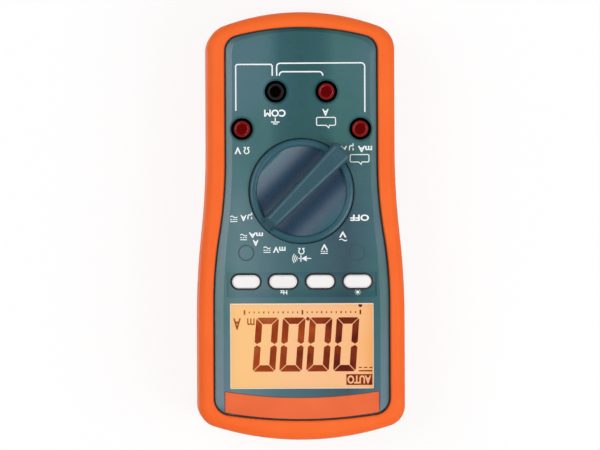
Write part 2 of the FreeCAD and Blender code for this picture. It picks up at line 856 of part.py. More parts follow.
def within(edge, outline):
    """True for an edge that stays inside an outline's largest half width and ends."""
    bounds = edge.BoundBox
    slack = 1.5
    return (
        max(abs(bounds.XMin), abs(bounds.XMax)) < outline.wide.value + slack
        and bounds.YMax < outline.display_end.value + slack
        and bounds.YMin > -outline.jack_end.value - slack
    )


# ---------------------------------------------------------------------------------------------
# The two case halves
# ---------------------------------------------------------------------------------------------
def stadium_slab(name, x, y, width, height, z0, z1):
    piece = Piece(name)
    drawing = piece.sketch(height=z0)
    drawing.stadium(x, y, width, height)
    piece.pad(drawing, size(z1) - z0)
    return piece


def strip_slab(name, half_width, z0, z1, shrink=0):
    """The name plate's bowed strip."""
    piece = Piece(name)
    drawing = piece.sketch(height=z0)
    drawing.bowed_strip(
        size(half_width) - shrink,
        display_y + d.window_height / 2 + d.plate_to_window + shrink,
        LIP_OUTLINE.display_end - d.plate_to_lip - shrink,
        d.plate_bow_low, d.plate_bow_high,
    )
    piece.pad(drawing, size(z1) - z0)
    return piece


def window_box(name, margin, z0, z1):
    """A block over the display, larger than the window by a margin on every side."""
    return box(
        name, -d.window_width / 2 - margin, d.window_width / 2 + margin,
        display_y - d.window_height / 2 - margin, display_y + d.window_height / 2 + margin,
        z0, z1,
    )


def build_front_case(shell):
    above = d.panel_level + 1
    well_radius = d.dial_radius + d.dial_gap
    body = [common("front_shell", shell, half_space("front_half", d.split_level, above))]
    body.append(rod("well_cup", 0, d.dial_y, well_under, panel_under + 1, well_radius + 2.2))
    body.append(rod(
        "stop_peg", 0, d.dial_y - d.stop_radius, rotor_top - 1.1, well_under + 0.5, d.stop_peg,
    ))
    for x, y in SCREWS:
        body.append(rod("front_boss", x, y, d.split_level, panel_under + 1, d.boss_radius))
    for x, y in BOARD_SCREWS:
        body.append(rod("board_boss", x, y, d.board_top_level, panel_under + 1, d.boss_radius))

    tools = [window_box("window_opening", 0, panel_under - 1, above)]
    tools.append(window_box("lens_seat", d.lens_margin, panel_under - 1,
                            panel_under + d.lens_flange + d.fit_gap))
    tools.append(strip_slab("plate_recess", d.plate_half_width,
                            d.panel_level - d.plate_thick, above).body)
    tools.append(rod("dial_well", 0, d.dial_y, well_floor, above, well_radius))
    tools.append(rod("shaft_hole", 0, d.dial_y, well_under - 1, above,
                     d.shaft_radius + d.shaft_play))
    tools.append(ring_slab("rebate", tongue_inset - d.fit_gap, d.case_wall + 1.2,
                           d.split_level - 1, d.split_level + d.tongue_height + d.fit_gap))
    tools.append(rod_along(
        "key_trough", "x",
        (-d.trough_length / 2, trough_y, d.panel_level - d.trough_deep + trough_radius),
        d.trough_length, trough_radius,
    ))
    for name, place in KEYS.items():
        tools.append(stadium_slab(
            name + "_hole", place * d.key_pitch, key_y, d.key_width + 2 * d.key_gap,
            d.key_height + 2 * d.key_gap, panel_under - 1, above,
        ).body)
    for name, (x, y) in JACKS.items():
        edge = d.panel_level - d.jack_hole_bevel
        flare = d.jack_hole_radius + d.jack_hole_bevel
        tools.append(turned(name + "_jack_hole", [
            (0, panel_under - 1), (d.jack_hole_radius, panel_under - 1),
            (d.jack_hole_radius, edge), (flare, d.panel_level), (flare, above), (0, above),
        ], x, y))
    for x, y in SCREWS:
        tools.append(rod("pilot", x, y, d.split_level - 1, panel_under - 2, d.pilot_radius))
    for x, y in BOARD_SCREWS:
        tools.append(rod("pilot", x, y, d.board_top_level - 1, panel_under - 1, d.pilot_radius))
        floor = d.panel_level - d.sink_mark_deep
        tools.append(turned("sink_mark", [
            (d.sink_mark_radius, floor), (d.sink_mark_radius + 0.3, floor),
            (d.sink_mark_radius + 0.3, above), (d.sink_mark_radius, above),
        ], x, y))
    finish("front_case", cut("front_case", fuse("front_body", *body), *tools))


def build_rear_case(shell):
    tray_under = d.tray_top_level - d.tray_wall
    body = [common("rear_shell", shell, half_space("rear_half", 0, d.split_level))]
    body.append(ring_slab("tongue", tongue_inset, d.case_wall, d.split_level - 0.5,
                          d.split_level + d.tongue_height))
    body.append(box(
        "battery_tray", -tray_half - d.tray_wall, tray_half + d.tray_wall,
        tray_low - d.tray_wall, tray_high + d.tray_wall, floor_level - 1, d.tray_top_level,
    ))
    for x, y in SCREWS:
        body.append(rod("rear_boss", x, y, floor_level - 1, d.split_level, d.boss_radius + 1))
    body.append(rod("door_boss", 0, d.door_screw_y, floor_level - 1, d.split_level - 2,
                    d.boss_radius + 2))

    below = d.case_back_level - 1
    gap = d.door_play
    door_seat = d.case_back_level + d.door_thick + d.fit_gap
    tools = [box("tray_inside", -tray_half, tray_half, tray_low, tray_high, below, tray_under)]
    for side in (-1, 1):
        near, far = ordered(side * (contact_half - 2), side * tray_half)
        tools.append(box("tail_slot", near, far, tray_low, tray_high,
                         tray_under - 1, d.tray_top_level + 1))
    tools.append(box("door_opening", -opening_half, opening_half,
                     opening_low, tray_high, below, floor_level + 1))
    tools.append(box("door_recess", -door_half - gap, door_half + gap,
                     door_low - gap, door_high + gap, below, door_seat))
    for side in (-1, 1):
        middle, half = side * d.door_tongue_x, d.door_tongue_half + gap
        tools.append(box("tongue_slot", middle - half, middle + half, door_high,
                         door_high + d.door_tongue + 2 * gap,
                         d.case_back_level + d.door_thick / 2, door_seat))
    for x, y in SCREWS:
        seat = d.case_back_level + d.counterbore_deep
        tools.append(rod("counterbore", x, y, below, seat, d.counterbore_radius))
        tools.append(rod("screw_hole", x, y, below, d.split_level + 1, d.screw_radius + 0.3))
    tools.append(rod("pad_recess", 0, d.door_screw_y, below,
                     floor_level + d.door_pad_rise + d.fit_gap, d.door_pad_radius + gap))
    tools.append(rod("pilot", 0, d.door_screw_y, below, d.split_level - 3, d.pilot_radius))
    finish("rear_case", cut("rear_case", fuse("rear_body", *body), *tools))


def ordered(*places):
    """The places in rising order."""
    return sorted(places, key=lambda place: size(place).value)


def screw(name, x, y, head_level, length, head_radius=d.screw_head_radius, head=d.screw_head):
    """A cheese-head screw that goes in upwards; head_level is the underside of its head."""
    return turned(name, [
        (0, head_level - head), (head_radius, head_level - head), (head_radius, head_level),
        (d.screw_radius, head_level), (d.screw_radius, head_level + length),
        (0, head_level + length),
    ], x, y)


def build_closures():
    door_top = d.case_back_level + d.door_thick
    door = Piece("door_plate")
    drawing = door.sketch(height=d.case_back_level)
    drawing.rectangle(-door_half, door_half, door_low, door_high)
    door.pad(drawing, d.door_thick)
    door.fillet(0.6, lambda edge: level(edge, d.case_back_level))
    tongues = [
        box("door_tongue", side * d.door_tongue_x - d.door_tongue_half,
            side * d.door_tongue_x + d.door_tongue_half, door_high - 1,
            door_high + d.door_tongue, d.case_back_level + d.door_thick / 2 + d.fit_gap,
            door_top)
        for side in (-1, 1)
    ]
    pad_top = floor_level + d.door_pad_rise
    pad = rod("door_pad", 0, d.door_screw_y, d.case_back_level, pad_top, d.door_pad_radius)
    solid = fuse("door_solid", door.body, pad, *tongues)
    head_seat = pad_top - d.screw_seat
    holes = [
        rod("door_counterbore", 0, d.door_screw_y, d.case_back_level - 1, head_seat,
            d.counterbore_radius),
        rod("door_hole", 0, d.door_screw_y, d.case_back_level - 1, pad_top + 1,
            d.screw_radius + 0.3),
    ]
    finger_groove = rod_along("finger_groove", "x", (-6, door_low + 9, d.case_back_level - 1),
                              12, 1.6)
    finish("battery_door", cut("battery_door", solid, *holes, finger_groove))
    finish("battery_door_screw",
           screw("battery_door_screw", 0, d.door_screw_y, head_seat, d.door_screw_length))
    seat = d.case_back_level + d.counterbore_deep
    finish("case_screws", group("case_screws", [
        screw("case_screw", x, y, seat, d.case_screw_length) for x, y in SCREWS
    ]))
    finish("board_screws", group("board_screws", [
        screw("board_screw", x, y, board_under, d.board_screw_length) for x, y in BOARD_SCREWS
    ]))


# ---------------------------------------------------------------------------------------------
# Display
# ---------------------------------------------------------------------------------------------
def rounded_posts(name, thing, radius):
    """Rounds the upright edges of a block-like solid."""
    doc.recompute()
    edges = [
        (i, radius, radius) for i, edge in enumerate(thing.Shape.Edges, start=1)
        if edge.BoundBox.XLength < 1e-4 and edge.BoundBox.YLength < 1e-4
    ]
    rounded = doc.addObject("Part::Fillet", name)
    rounded.Base = thing
    rounded.Edges = edges
    return rounded


def build_display():
    play = d.fit_gap
    flange = window_box("lens_flange", d.lens_margin - play, panel_under,
                        panel_under + d.lens_flange)
    raised = window_box("lens_raised", -play, panel_under, d.panel_level - d.lens_sunk)
    finish("display_window", fuse(
        "display_window", flange, rounded_posts("lens_corners", raised, SIZES["window_round"])))
    plate = strip_slab("name_plate", d.plate_half_width, d.panel_level - d.plate_thick,
                       d.panel_level, shrink=play)
    plate.fillet(0.25, lambda edge: level(edge, d.panel_level))
    finish("name_plate", plate.body)

    x, y = d.cell_width / 2, d.cell_height / 2
    glass = box("lcd_glass", -x, x, display_y - y, display_y + y, cell_under, cell_top)
    finish("lcd_glass", glass)

    room = 2 * play
    wall = d.bezel_wall + room
    outside = box("bezel_outside", -x - wall, x + wall, display_y - y - wall,
                  display_y + y + wall, d.board_top_level, cell_top + room + d.bezel_lip_thick)
    inside = box("bezel_inside", -x - room, x + room, display_y - y - room,
                 display_y + y + room, d.board_top_level - 1, cell_top + room)
    lip = d.bezel_lip
    opening = box("bezel_opening", lip - x, x - lip, display_y - y + lip,
                  display_y + y - lip, d.board_top_level, cell_top + 3)
    frame = rounded_posts("bezel_corners", outside, 1.0)
    finish("lcd_bezel", cut("lcd_bezel", frame, inside, opening))

    x, y = d.backlight_width / 2, d.backlight_height / 2
    top = cell_under - play
    lamp = box("backlight_panel", -x, x, display_y - y, display_y + y,
               top - d.backlight_thick, top)
    finish("backlight_panel", lamp)
    strips = []
    for side in (-1, 1):
        near = display_y + side * (y + 1.8) - d.zebra_width / 2
        strips.append(box("zebra", -d.zebra_length / 2, d.zebra_length / 2, near,
                          near + d.zebra_width, d.board_top_level, cell_under))
    finish("zebra_strips", group("zebra_strips", strips))


# ---------------------------------------------------------------------------------------------
# Selector: knob, rotor, detent and wipers turn about one upright axis
# ---------------------------------------------------------------------------------------------
def build_knob():
    """Modelled with its pointer towards +Y, then turned to its resting position."""
    rim_inner = d.dial_radius - d.dial_rim_width
    disc = turned("knob_disc", [
        (0, skirt_level), (d.dial_radius, skirt_level), (d.dial_radius, rim_level - 1.1),
        (d.dial_radius - 0.15, rim_level - 0.6), (d.dial_radius - 0.5, rim_level - 0.2),
        (d.dial_radius - 1, rim_level), (rim_inner + 0.8, rim_level),
        (rim_inner + 0.3, rim_level - 0.25), (rim_inner, rim_level - 0.8),
        (0, rim_level - 0.8),
    ])
    reach = 2 * d.dial_radius
    bowl = rod("dish_limit", 0, 0, skirt_level + 0.5, rim_level + 1, rim_inner)
    hollows = [
        rod_along("dish_hollow", "y", (side * d.dish_offset, -reach / 2,
                                       d.dish_level + d.dish_radius), reach, d.dish_radius)
        for side in (-1, 1)
    ]
    half = {
        side: box("dish_side", *((-reach, 0) if side < 0 else (0, reach)), -reach, reach,
                  skirt_level, rim_level + 1)
        for side in (-1, 1)
    }
    scoops = [
        common("dish_scoop", bowl, hollow, half[side])
        for side, hollow in zip((-1, 1), hollows)
    ]
    dished = cut("knob_dished", disc, *scoops)

    grip = Piece("knob_grip")
    foot_level = skirt_level + 0.5
    foot = grip.sketch(height=foot_level)
    tip, tail = d.grip_tip_half, d.grip_tail_half
    foot.polygon((tip + d.grip_draft, d.grip_tip_y), (-tip - d.grip_draft, d.grip_tip_y),
                 (-tail - d.grip_draft, -d.grip_tail_y), (tail + d.grip_draft, -d.grip_tail_y))
    crest = grip.sketch(height=d.grip_top_level)
    crest.polygon((tip, d.grip_tip_y), (-tip, d.grip_tip_y),
                  (-tail, -d.grip_tail_y), (tail, -d.grip_tail_y))
    grip.loft(foot, crest)
    fall = grip.sketch("side")
    fall.polygon((-d.grip_tail_y - 1, d.grip_top_level + 0.01), (-d.grip_tail_y - 1,
                 d.grip_top_level + 3), (d.grip_tip_y + 1, d.grip_top_level + 3),
                 (d.grip_tip_y + 1, d.grip_nose_level - 2), (d.grip_tip_y, d.grip_nose_level),
                 (d.grip_bend_y, d.grip_tip_level), (-d.grip_tail_y, d.grip_top_level + 0.01))
    grip.pocket(fall, 3 * d.dial_radius, both=True)
    step = grip.sketch("side")
    step.rectangle(-d.grip_tail_y - 1, -d.dial_radius + 0.6, foot_level - 1,
                   d.grip_overhang_level)
    grip.pocket(step, 3 * d.dial_radius, both=True)
    grip.fillet(1.6, lambda edge: edge.BoundBox.YMax < -SIZES["grip_tail_y"] + 0.01
                and edge.BoundBox.ZLength > 3)
    grip.fillet(d.grip_round, lambda edge: edge.BoundBox.ZMin > SIZES["grip_nose_level"] + 0.5
                or (edge.BoundBox.YMin > SIZES["grip_bend_y"] - 0.1
                    and edge.BoundBox.ZMin > SIZES["grip_nose_level"] - 0.1
                    and edge.BoundBox.ZLength > 1))
    shaft = rod("knob_shaft", 0, 0, rotor_top, skirt_level + 0.5, d.shaft_radius)
    side = d.square_side / 2
    square = box("knob_square", -side, side, -side, side, rotor_under + d.fit_gap,
                 rotor_top + 0.5)
    solid = fuse("knob_solid", dished, grip.body, shaft, square)
    bore = rod("knob_pilot", 0, 0, rotor_under - 1, rim_level - 1, d.pilot_radius)
    knob = cut("selector_knob", solid, bore)
    move(knob, 0, d.dial_y, 0, turn=-d.dial_angle)
    finish("selector_knob", knob)
    finish("selector_screw", screw("selector_screw", 0, d.dial_y, rotor_under, 8,
                                   head_radius=size(4.8), head=size(1.5)))


def turn_about_dial(thing, angle):
    """Turns an object built about the origin, then carries it to the dial's centre."""
    return move(thing, 0, d.dial_y, 0, turn=angle)


def build_rotor():
    """Built with the pointer towards +Y, like the knob, except for the groove."""
    mid = (rotor_top + rotor_under) / 2
    disc = turned("rotor_disc", [
        (0, rotor_under), (d.rotor_radius - 0.4, rotor_under),
        (d.rotor_radius, rotor_under + 0.4), (d.rotor_radius, rotor_top - 0.4),
        (d.rotor_radius - 0.4, rotor_top), (0, rotor_top),
    ])
    side = d.square_side / 2 + d.roller_play
    socket = box("rotor_square", -side, side, -side, side, rotor_under - 1, rotor_top + 1)
    half_width = d.roller_radius + d.roller_play
    half_height = d.roller_height / 2 + d.roller_play
    slot = box("roller_slot", -d.rotor_radius - 1, d.rotor_radius + 1, -half_width, half_width,
               mid - half_height, mid + half_height)
    keep = rod("rotor_core", 0, 0, rotor_under - 1, rotor_top + 1, d.nest_inner)
    nests = cut("roller_nests", slot, keep)
    band = d.stop_peg + 0.2
    sweep = doc.addObject("Part::Cylinder", "stop_sweep")
    bind(sweep, Radius=d.stop_radius + band, Height=3, Angle=6 * d.dial_step + 2 * d.stop_margin)
    first = d.dial_angle - 90 - 5 * d.dial_step - d.stop_margin
    move(sweep, 0, 0, rotor_top - 1.3, turn=first)
    core = rod("stop_core", 0, 0, rotor_under, rotor_top + 3, d.stop_radius - band)
    groove = cut("stop_groove", sweep, core)
    rotor = cut("selector_rotor", disc, socket, nests, groove)
    finish("selector_rotor", turn_about_dial(rotor, -d.dial_angle))

    rollers = []
    springs = []
    heel = d.roller_place - d.roller_radius
    for side in (-1, 1):
        rollers.append(rod("detent_roller", side * d.roller_place, 0,
                           mid - d.roller_height / 2, mid + d.roller_height / 2,
                           d.roller_radius))
        springs.append(bow("detent_spring", side * (d.nest_inner + 0.1), side * heel, 0,
                           d.roller_radius - 0.1, 0.2, mid - 0.8, 1.6))
    finish("detent_rollers", turn_about_dial(group("detent_rollers", rollers), -d.dial_angle))
    finish("detent_springs", turn_about_dial(group("detent_springs", springs), -d.dial_angle))

    wipers = []
    tip = d.board_top_level + d.wiper_drop - rotor_under
    for place, angle in ((7.6, 20.0), (10.4, 140.0), (13.2, 260.0)):
        leaf = Piece("wiper_leaf")
        drawing = leaf.sketch("front")
        drawing.polygon(
            (-4, 0), (-4, -0.3), (-3.6, -0.3), (-3.2, tip), (-2.8, tip), (-2.4, -0.3),
            (2.4, -0.3), (2.8, tip), (3.2, tip), (3.6, -0.3), (4, -0.3), (4, 0),
        )
        leaf.pad(drawing, 1.6, both=True)
        move(leaf.body, place, 0, rotor_under, turn=90.0)
        wipers.append(move(group("wiper", [leaf.body]), turn=angle))
    finish("wiper_contacts", turn_about_dial(group("wiper_contacts", wipers), -d.dial_angle))


def bow(name, foot_x, tip_x, y, half_width, thick, z, height):
    """A leaf spring bent to a V: two feet at foot_x and a blunt tip that presses at tip_x."""
    way = 1 if size(tip_x).value > size(foot_x).value else -1
    blunt = size(half_width) / 4
    leaf = Piece(name)
    drawing = leaf.sketch(height=z)
    drawing.polygon(
        (foot_x, y - half_width), (tip_x, y - blunt), (tip_x, y + blunt),
        (foot_x, y + half_width), (foot_x, y + half_width - thick),
        (tip_x - way * thick, y + blunt / 2), (tip_x - way * thick, y - blunt / 2),
        (foot_x, y - half_width + thick),
    )
    leaf.pad(drawing, height)
    return leaf.body


def build_detent_ring():
    inner = d.roller_place + d.roller_radius + d.small_gap
    piece = Piece("detent_ring")
    drawing = piece.sketch(height=well_under - d.detent_height)
    drawing.circle(0, 0, inner + d.detent_wall)
    drawing.circle(0, 0, inner)
    piece.pad(drawing, d.detent_height)
    notch = piece.sketch(height=well_under)
    notch.circle(inner - 0.4, 0, d.notch_radius)
    first = piece.pocket(notch, d.detent_height)
    pattern = piece.body.newObject("PartDesign::PolarPattern", piece.name("pattern"))
    pattern.Originals = [first]
    pattern.Axis = (notch.sketch, ["N_Axis"])
    pattern.Angle = 360
    pattern.Occurrences = 16
    piece.body.Tip = pattern
    doc.recompute()
    finish("detent_ring", move(piece.body, 0, d.dial_y, 0))


# ---------------------------------------------------------------------------------------------
# Keys
# ---------------------------------------------------------------------------------------------
def build_keys():
    flange_top = panel_under - 2 * d.fit_gap
    flange_low = flange_top - d.key_flange_thick
    stem_end = d.board_top_level + d.key_travel + 2 * d.fit_gap
    for name, place in KEYS.items():
        x = place * d.key_pitch
        cap = stadium_slab(name + "_cap", x, key_y, d.key_width, d.key_height,
                           flange_low, d.key_top_level)
        cap.chamfer(d.key_edge, lambda edge: level(edge, d.key_top_level))
        flange = stadium_slab(
            name + "_flange", x, key_y, d.key_width + 2 * d.key_flange,
            d.key_height + 2 * d.key_flange, flange_low, flange_top,
        )
        stem = rod(name + "_stem", x, key_y, stem_end, flange_low + 0.5, d.key_stem_radius)
        finish(name, fuse(name, cap.body, flange.body, stem))

    top = d.board_top_level + 1.2
    reach = 1.5 * d.key_pitch + 4.6
    mat = [box("mat_sheet", -reach, reach, key_y - 3.6, key_y + 3.6,
               d.board_top_level, top)]
    ring_top = flange_low - d.key_travel - 0.4
    mat += [rod("mat_ring", place * d.key_pitch, key_y, d.board_top_level, ring_top, 3.1)
            for place in KEYS.values()]
    holes = [rod("mat_hole", place * d.key_pitch, key_y, d.board_top_level - 1,
                 ring_top + 1, d.key_stem_radius + 0.4) for place in KEYS.values()]
    finish("keypad_membrane", cut("keypad_membrane", fuse("mat_solid", *mat), *holes))


# ---------------------------------------------------------------------------------------------
# Input jacks: black well, coloured sleeve and brass socket with a lug to the board
# ---------------------------------------------------------------------------------------------
def build_jacks():
    floor = d.jack_shroud_level + d.jack_shroud_floor
    sleeve_inner = d.socket_outer + 0.05
    rim = d.panel_level - d.sleeve_sunk
    socket_top = rim - d.sleeve_lip - d.fit_gap
    blind = d.socket_bottom_level + d.socket_blind
    for name, (x, y) in JACKS.items():
        outer = d.jack_hole_radius + d.jack_shroud_wall
        finish("jack_shroud_" + name, turned("jack_shroud_" + name, [
            (sleeve_inner, d.jack_shroud_level), (outer, d.jack_shroud_level),
            (outer, panel_under), (d.jack_hole_radius, panel_under),
            (d.jack_hole_radius, floor), (sleeve_inner, floor),
        ], x, y))
        finish("jack_sleeve_" + name, turned("jack_sleeve_" + name, [
            (sleeve_inner, floor), (d.sleeve_radius, floor), (d.sleeve_radius, rim),
            (d.socket_bore + 0.6, rim), (d.socket_bore + 0.1, rim - 0.6),
            (d.socket_bore + 0.1, rim - d.sleeve_lip), (sleeve_inner, rim - d.sleeve_lip),
        ], x, y))
        barrel = turned(name + "_barrel", [
            (0, d.socket_bottom_level), (d.socket_outer, d.socket_bottom_level),
            (d.socket_outer, socket_top), (d.socket_bore, socket_top),
            (d.socket_bore, blind), (0, blind),
        ], x, y)
        way = 1 if abs(x.value) < 15 else -1
        way = way if x.value > 0 else -way
        thick = d.lug_thick
        reach = outer + 0.6 + thick
        foot = box(name + "_lug_foot", *ordered(x, x + way * reach), y - d.lug_half,
                   y + d.lug_half, d.socket_bottom_level, d.socket_bottom_level + thick)
        post = ordered(x + way * (reach - thick), x + way * reach)
        blade = box(name + "_lug_blade", *post, y - d.lug_half, y + d.lug_half,
                    d.socket_bottom_level, board_under)
        finish("jack_contact_" + name, fuse("jack_contact_" + name, barrel, foot, blade))


# ---------------------------------------------------------------------------------------------
# Circuit board and what it carries
# ---------------------------------------------------------------------------------------------
def build_board():
    piece = slab("board_blank", INNER_OUTLINE.inset(d.board_gap), board_under,
                 d.board_top_level)
    low, high = board_under - 1, d.board_top_level + 1
    tools = [rod("board_slot", x, y, low, high, d.boss_radius + d.small_gap) for x, y in SCREWS]
    tools += [rod("board_hole", x, y, low, high, d.screw_radius + 0.1) for x, y in BOARD_SCREWS]
    tools.append(rod("screw_room", 0, d.dial_y, low, high, 5.5))
    shroud_room = d.jack_hole_radius + d.jack_shroud_wall + d.small_gap
    tools += [rod("jack_room", x, y, low, high, shroud_room) for x, y in JACKS.values()]
    finish("main_board", cut("main_board", piece.body, *tools))

    half, middle = d.chip_half, display_y - 5.4
    chip = box("chip_package", -half, half, middle - half, middle + half,
               board_under - d.chip_thick, board_under - 0.1)
    half = half + d.chip_lead
    pins = box("chip_leads", -half, half, middle - half, middle + half, board_under - 0.25,
               board_under)
    finish("meter_chip", fuse("meter_chip", chip, pins))

    low = board_under - d.buzzer_height
    finish("buzzer", turned("buzzer", [
        (0, low + 0.7), (1.6, low + 0.7), (1.6, low), (d.buzzer_radius, low),
        (d.buzzer_radius, board_under), (0, board_under),
    ], 0, middle + d.chip_half + d.chip_lead + d.buzzer_radius + 3.8))

    low = board_under - d.capacitor_height
    side = d.chip_half + 15
    parts = [rod("capacitor", x, y, low, board_under, d.capacitor_radius)
             for x, y in ((-side, middle - 2), (side, middle - 2), (-side, middle + 12))]
    parts += [
        rod_along("varistor", "y", (x, jack_outer_y + 2, board_under - d.varistor_radius),
                  d.varistor_thick, d.varistor_radius)
        for x in (-d.varistor_radius - 0.9, d.varistor_radius + 0.9)
    ]
    parts.append(box("relay", d.chip_half + 7, d.chip_half + 7 + d.relay_length, middle + 8,
                     middle + 16, board_under - d.relay_height, board_under))
    finish("board_components", group("board_components", parts))

    y, low = jack_inner_y - 11.2, board_under - d.shunt_drop
    path = [rod("shunt_leg", side * d.shunt_half, y, low - d.shunt_radius, board_under,
                d.shunt_radius + 0.2) for side in (-1, 1)]
    path.append(rod_along("shunt_span", "x", (-d.shunt_half, y, low),
                          2 * d.shunt_half, d.shunt_radius))
    finish("shunt_wire", fuse("shunt_wire", *path))


def build_fuses():
    bodies, caps, clips = [], [], []
    for name, y, radius, length in (
        ("large", d.fuse_big_y, d.fuse_big_radius, d.fuse_big_length),
        ("small", d.fuse_small_y, d.fuse_small_radius, d.fuse_small_length),
    ):
        z = board_under - d.clip_thick - d.fit_gap - radius
        half = length / 2
        tube = rod_along(name + "_tube", "x", (1 - half, y, z), length - 2, radius - 0.3)
        bodies.append(tube)
        for side in (-1, 1):
            start = -half if side < 0 else half - d.cap_length
            solid = rod_along(name + "_cap", "x", (start, y, z), d.cap_length, radius)
            hollow = rod_along(name + "_cap_hollow", "x", (1 - half, y, z), length - 2,
                               radius - 0.3)
            caps.append(cut(name + "_cap_shell", solid, hollow))
            middle = side * (half - d.cap_length / 2)
            x0, x1 = middle - d.clip_width / 2, middle + d.clip_width / 2
            grip = radius + d.fit_gap
            outside = box(name + "_clip", x0, x1, y - grip - d.clip_thick,
                          y + grip + d.clip_thick, z - 2, board_under)
            inside = box(name + "_clip_inside", x0 - 1, x1 + 1, y - grip, y + grip, z - 3,
                         board_under - d.clip_thick)
            clips.append(cut(name + "_clip_u", outside, inside))
    finish("fuse_bodies", group("fuse_bodies", bodies))
    finish("fuse_caps", group("fuse_caps", caps))
    finish("fuse_clips", group("fuse_clips", clips))


def build_batteries():
    """Two AAA cells side by side, head to tail, each pressed against a plate by a leaf spring."""
    plates, springs = [], []
    outside = contact_half + d.terminal_thick
    low, high = d.cell_level - 4, d.cell_level + 4
    for number, side in ((1, 1), (2, -1)):
        y = d.battery_y - side * (d.cell_radius + d.cell_apart / 2)
        base = contact_half - d.cell_nub - d.cell_length    # where the can begins
        x0 = base if side > 0 else -contact_half + d.cell_nub
        can = rod_along("cell_can", "x", (x0, y, d.cell_level), d.cell_length, d.cell_radius)
        nub_x = x0 + d.cell_length - 0.5 if side > 0 else x0 - d.cell_nub
        nub = rod_along("cell_nub", "x", (nub_x, y, d.cell_level), d.cell_nub + 0.5, 1.9)
        finish(f"battery_{number}", fuse(f"battery_{number}", can, nub))
        springs.append(bow("battery_spring", -side * contact_half, side * base, y,
                           3.4, 0.35, d.cell_level - 2, 4))
        plate = box("terminal", contact_half, outside, y - 3.8, y + 3.8, low, high)
        tail = box("terminal_tail", contact_half, outside, y - 1.5, y + 1.5, high - 0.5,
                   board_under)
        plates.append(fuse(f"terminal_{number}", plate, tail))
    plates.append(box("bridge", -outside, -contact_half, d.battery_y - 9.3,
                      d.battery_y + 9.3, low, high))
    finish("battery_contacts", group("battery_contacts", plates))
    finish("battery_springs", group("battery_springs", springs))


# ---------------------------------------------------------------------------------------------
# Tilt stand in the back of the holster
# ---------------------------------------------------------------------------------------------
def build_stand():
    middle = d.stand_level + d.stand_thick / 2
    plate = Piece("stand_plate")
    drawing = plate.sketch(height=d.stand_level)
    foot_y = d.stand_hinge_y - d.stand_reach
    drawing.rectangle(-d.stand_half_width, d.stand_half_width, foot_y, d.stand_hinge_y)
    plate.pad(drawing, d.stand_thick)
    plate.fillet(d.stand_corner, lambda edge: edge.BoundBox.YMax < foot_y.value + 0.01
                 and edge.BoundBox.ZLength > 1)
    window = plate.sketch(height=d.stand_level + d.stand_thick)
    half = d.stand_half_width - d.stand_frame
    window.rectangle(-half, half, foot_y + 1.7 * d.stand_frame,
                     d.stand_hinge_y - 2 * d.stand_frame)
    plate.pocket(window, d.stand_thick)
    plate.fillet(d.stand_corner / 2, lambda edge: edge.BoundBox.ZLength > 1
                 and abs(abs(edge.BoundBox.XMax) - half.value) < 0.01)
    heel = rod_along("stand_heel", "x", (-d.stand_half_width, d.stand_hinge_y, middle),
                     2 * d.stand_half_width, d.stand_thick / 2)
    reach = d.stand_half_width + d.stand_pin_reach
    pins = rod_along("stand_pins", "x", (-reach, d.stand_hinge_y, middle), 2 * reach,
                     d.stand_pin_radius)
    finish("tilt_stand", fuse("tilt_stand", plate.body, heel, pins))


build_holster()
shell = cut("case_shell", case_block("solid_case", 0).body, hollow_block())
build_front_case(shell)
build_rear_case(shell)
build_closures()
build_display()
build_knob()
build_rotor()
build_detent_ring()
build_keys()
build_jacks()
build_board()
build_fuses()
build_batteries()
build_stand()

doc.recompute()
for thing in doc.Objects:
    if "Invalid" in thing.State or "Error" in thing.State:
        raise RuntimeError(f"{thing.Name} is {thing.State}")
os.makedirs("parts", exist_ok=True)
for label, thing in FINISHED.items():
    if thing.Shape.isNull() or not thing.Shape.isValid():
        raise RuntimeError(f"{label} has no valid shape")
    thing.Shape.exportStep(f"parts/{label}.step")
    solids = len(thing.Shape.Solids)
    print(f"{label}: {solids} solid(s), {thing.Shape.Volume / 1000:.2f} cm3")
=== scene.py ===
# %% [markdown]
# # A hand-held multimeter in a rubber holster
# The parts of this meter come from a CAD model, already packed in one frame.
# Blender adds what a moulding shop, a screen printer and a light tent add: the finish of each
# plastic and metal, the white printing on the panel, the lit display, and the light.
# A part could be made again here, but its size would then drift from the model. So the model's
# parts stay where they are, and every new piece takes its level from their boxes.

import bmesh
import bpy
import numpy as np
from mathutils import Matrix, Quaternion, Vector


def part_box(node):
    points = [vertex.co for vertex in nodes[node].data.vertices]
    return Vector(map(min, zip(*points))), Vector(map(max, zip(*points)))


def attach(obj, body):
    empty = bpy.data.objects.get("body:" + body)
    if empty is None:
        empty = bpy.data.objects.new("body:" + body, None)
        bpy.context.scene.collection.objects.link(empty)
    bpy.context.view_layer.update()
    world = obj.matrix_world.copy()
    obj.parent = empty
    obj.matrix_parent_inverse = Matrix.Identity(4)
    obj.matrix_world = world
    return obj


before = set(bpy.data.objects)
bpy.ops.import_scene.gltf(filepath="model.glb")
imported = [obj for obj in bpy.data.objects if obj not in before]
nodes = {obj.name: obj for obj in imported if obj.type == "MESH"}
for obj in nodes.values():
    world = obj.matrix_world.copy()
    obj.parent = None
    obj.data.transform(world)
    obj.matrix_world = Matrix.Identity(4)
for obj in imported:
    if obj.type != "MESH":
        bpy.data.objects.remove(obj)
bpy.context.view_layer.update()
MM = 0.001

# %% [markdown]
# ## The camera
# The meter lies on its back and is seen from straight above, with its sockets away from the
# viewer. A camera close by would make the raised dial look larger than the panel under it.
# A long lens from over two metres away keeps every level at almost the same scale, so that is used.
# It stands a little to the side of the volt socket, which shows slightly more of that flank.

# %% Place the camera
VIEW_WIDTH = 226.8 * MM          # what the picture's width covers at the panel's height
CAMERA_AWAY = 2400 * MM
panel_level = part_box("front_case")[1].z
look_at = Vector((0.6 * MM, -0.35 * MM, panel_level))
lean, roll = np.radians(2.1), np.radians(-0.22)

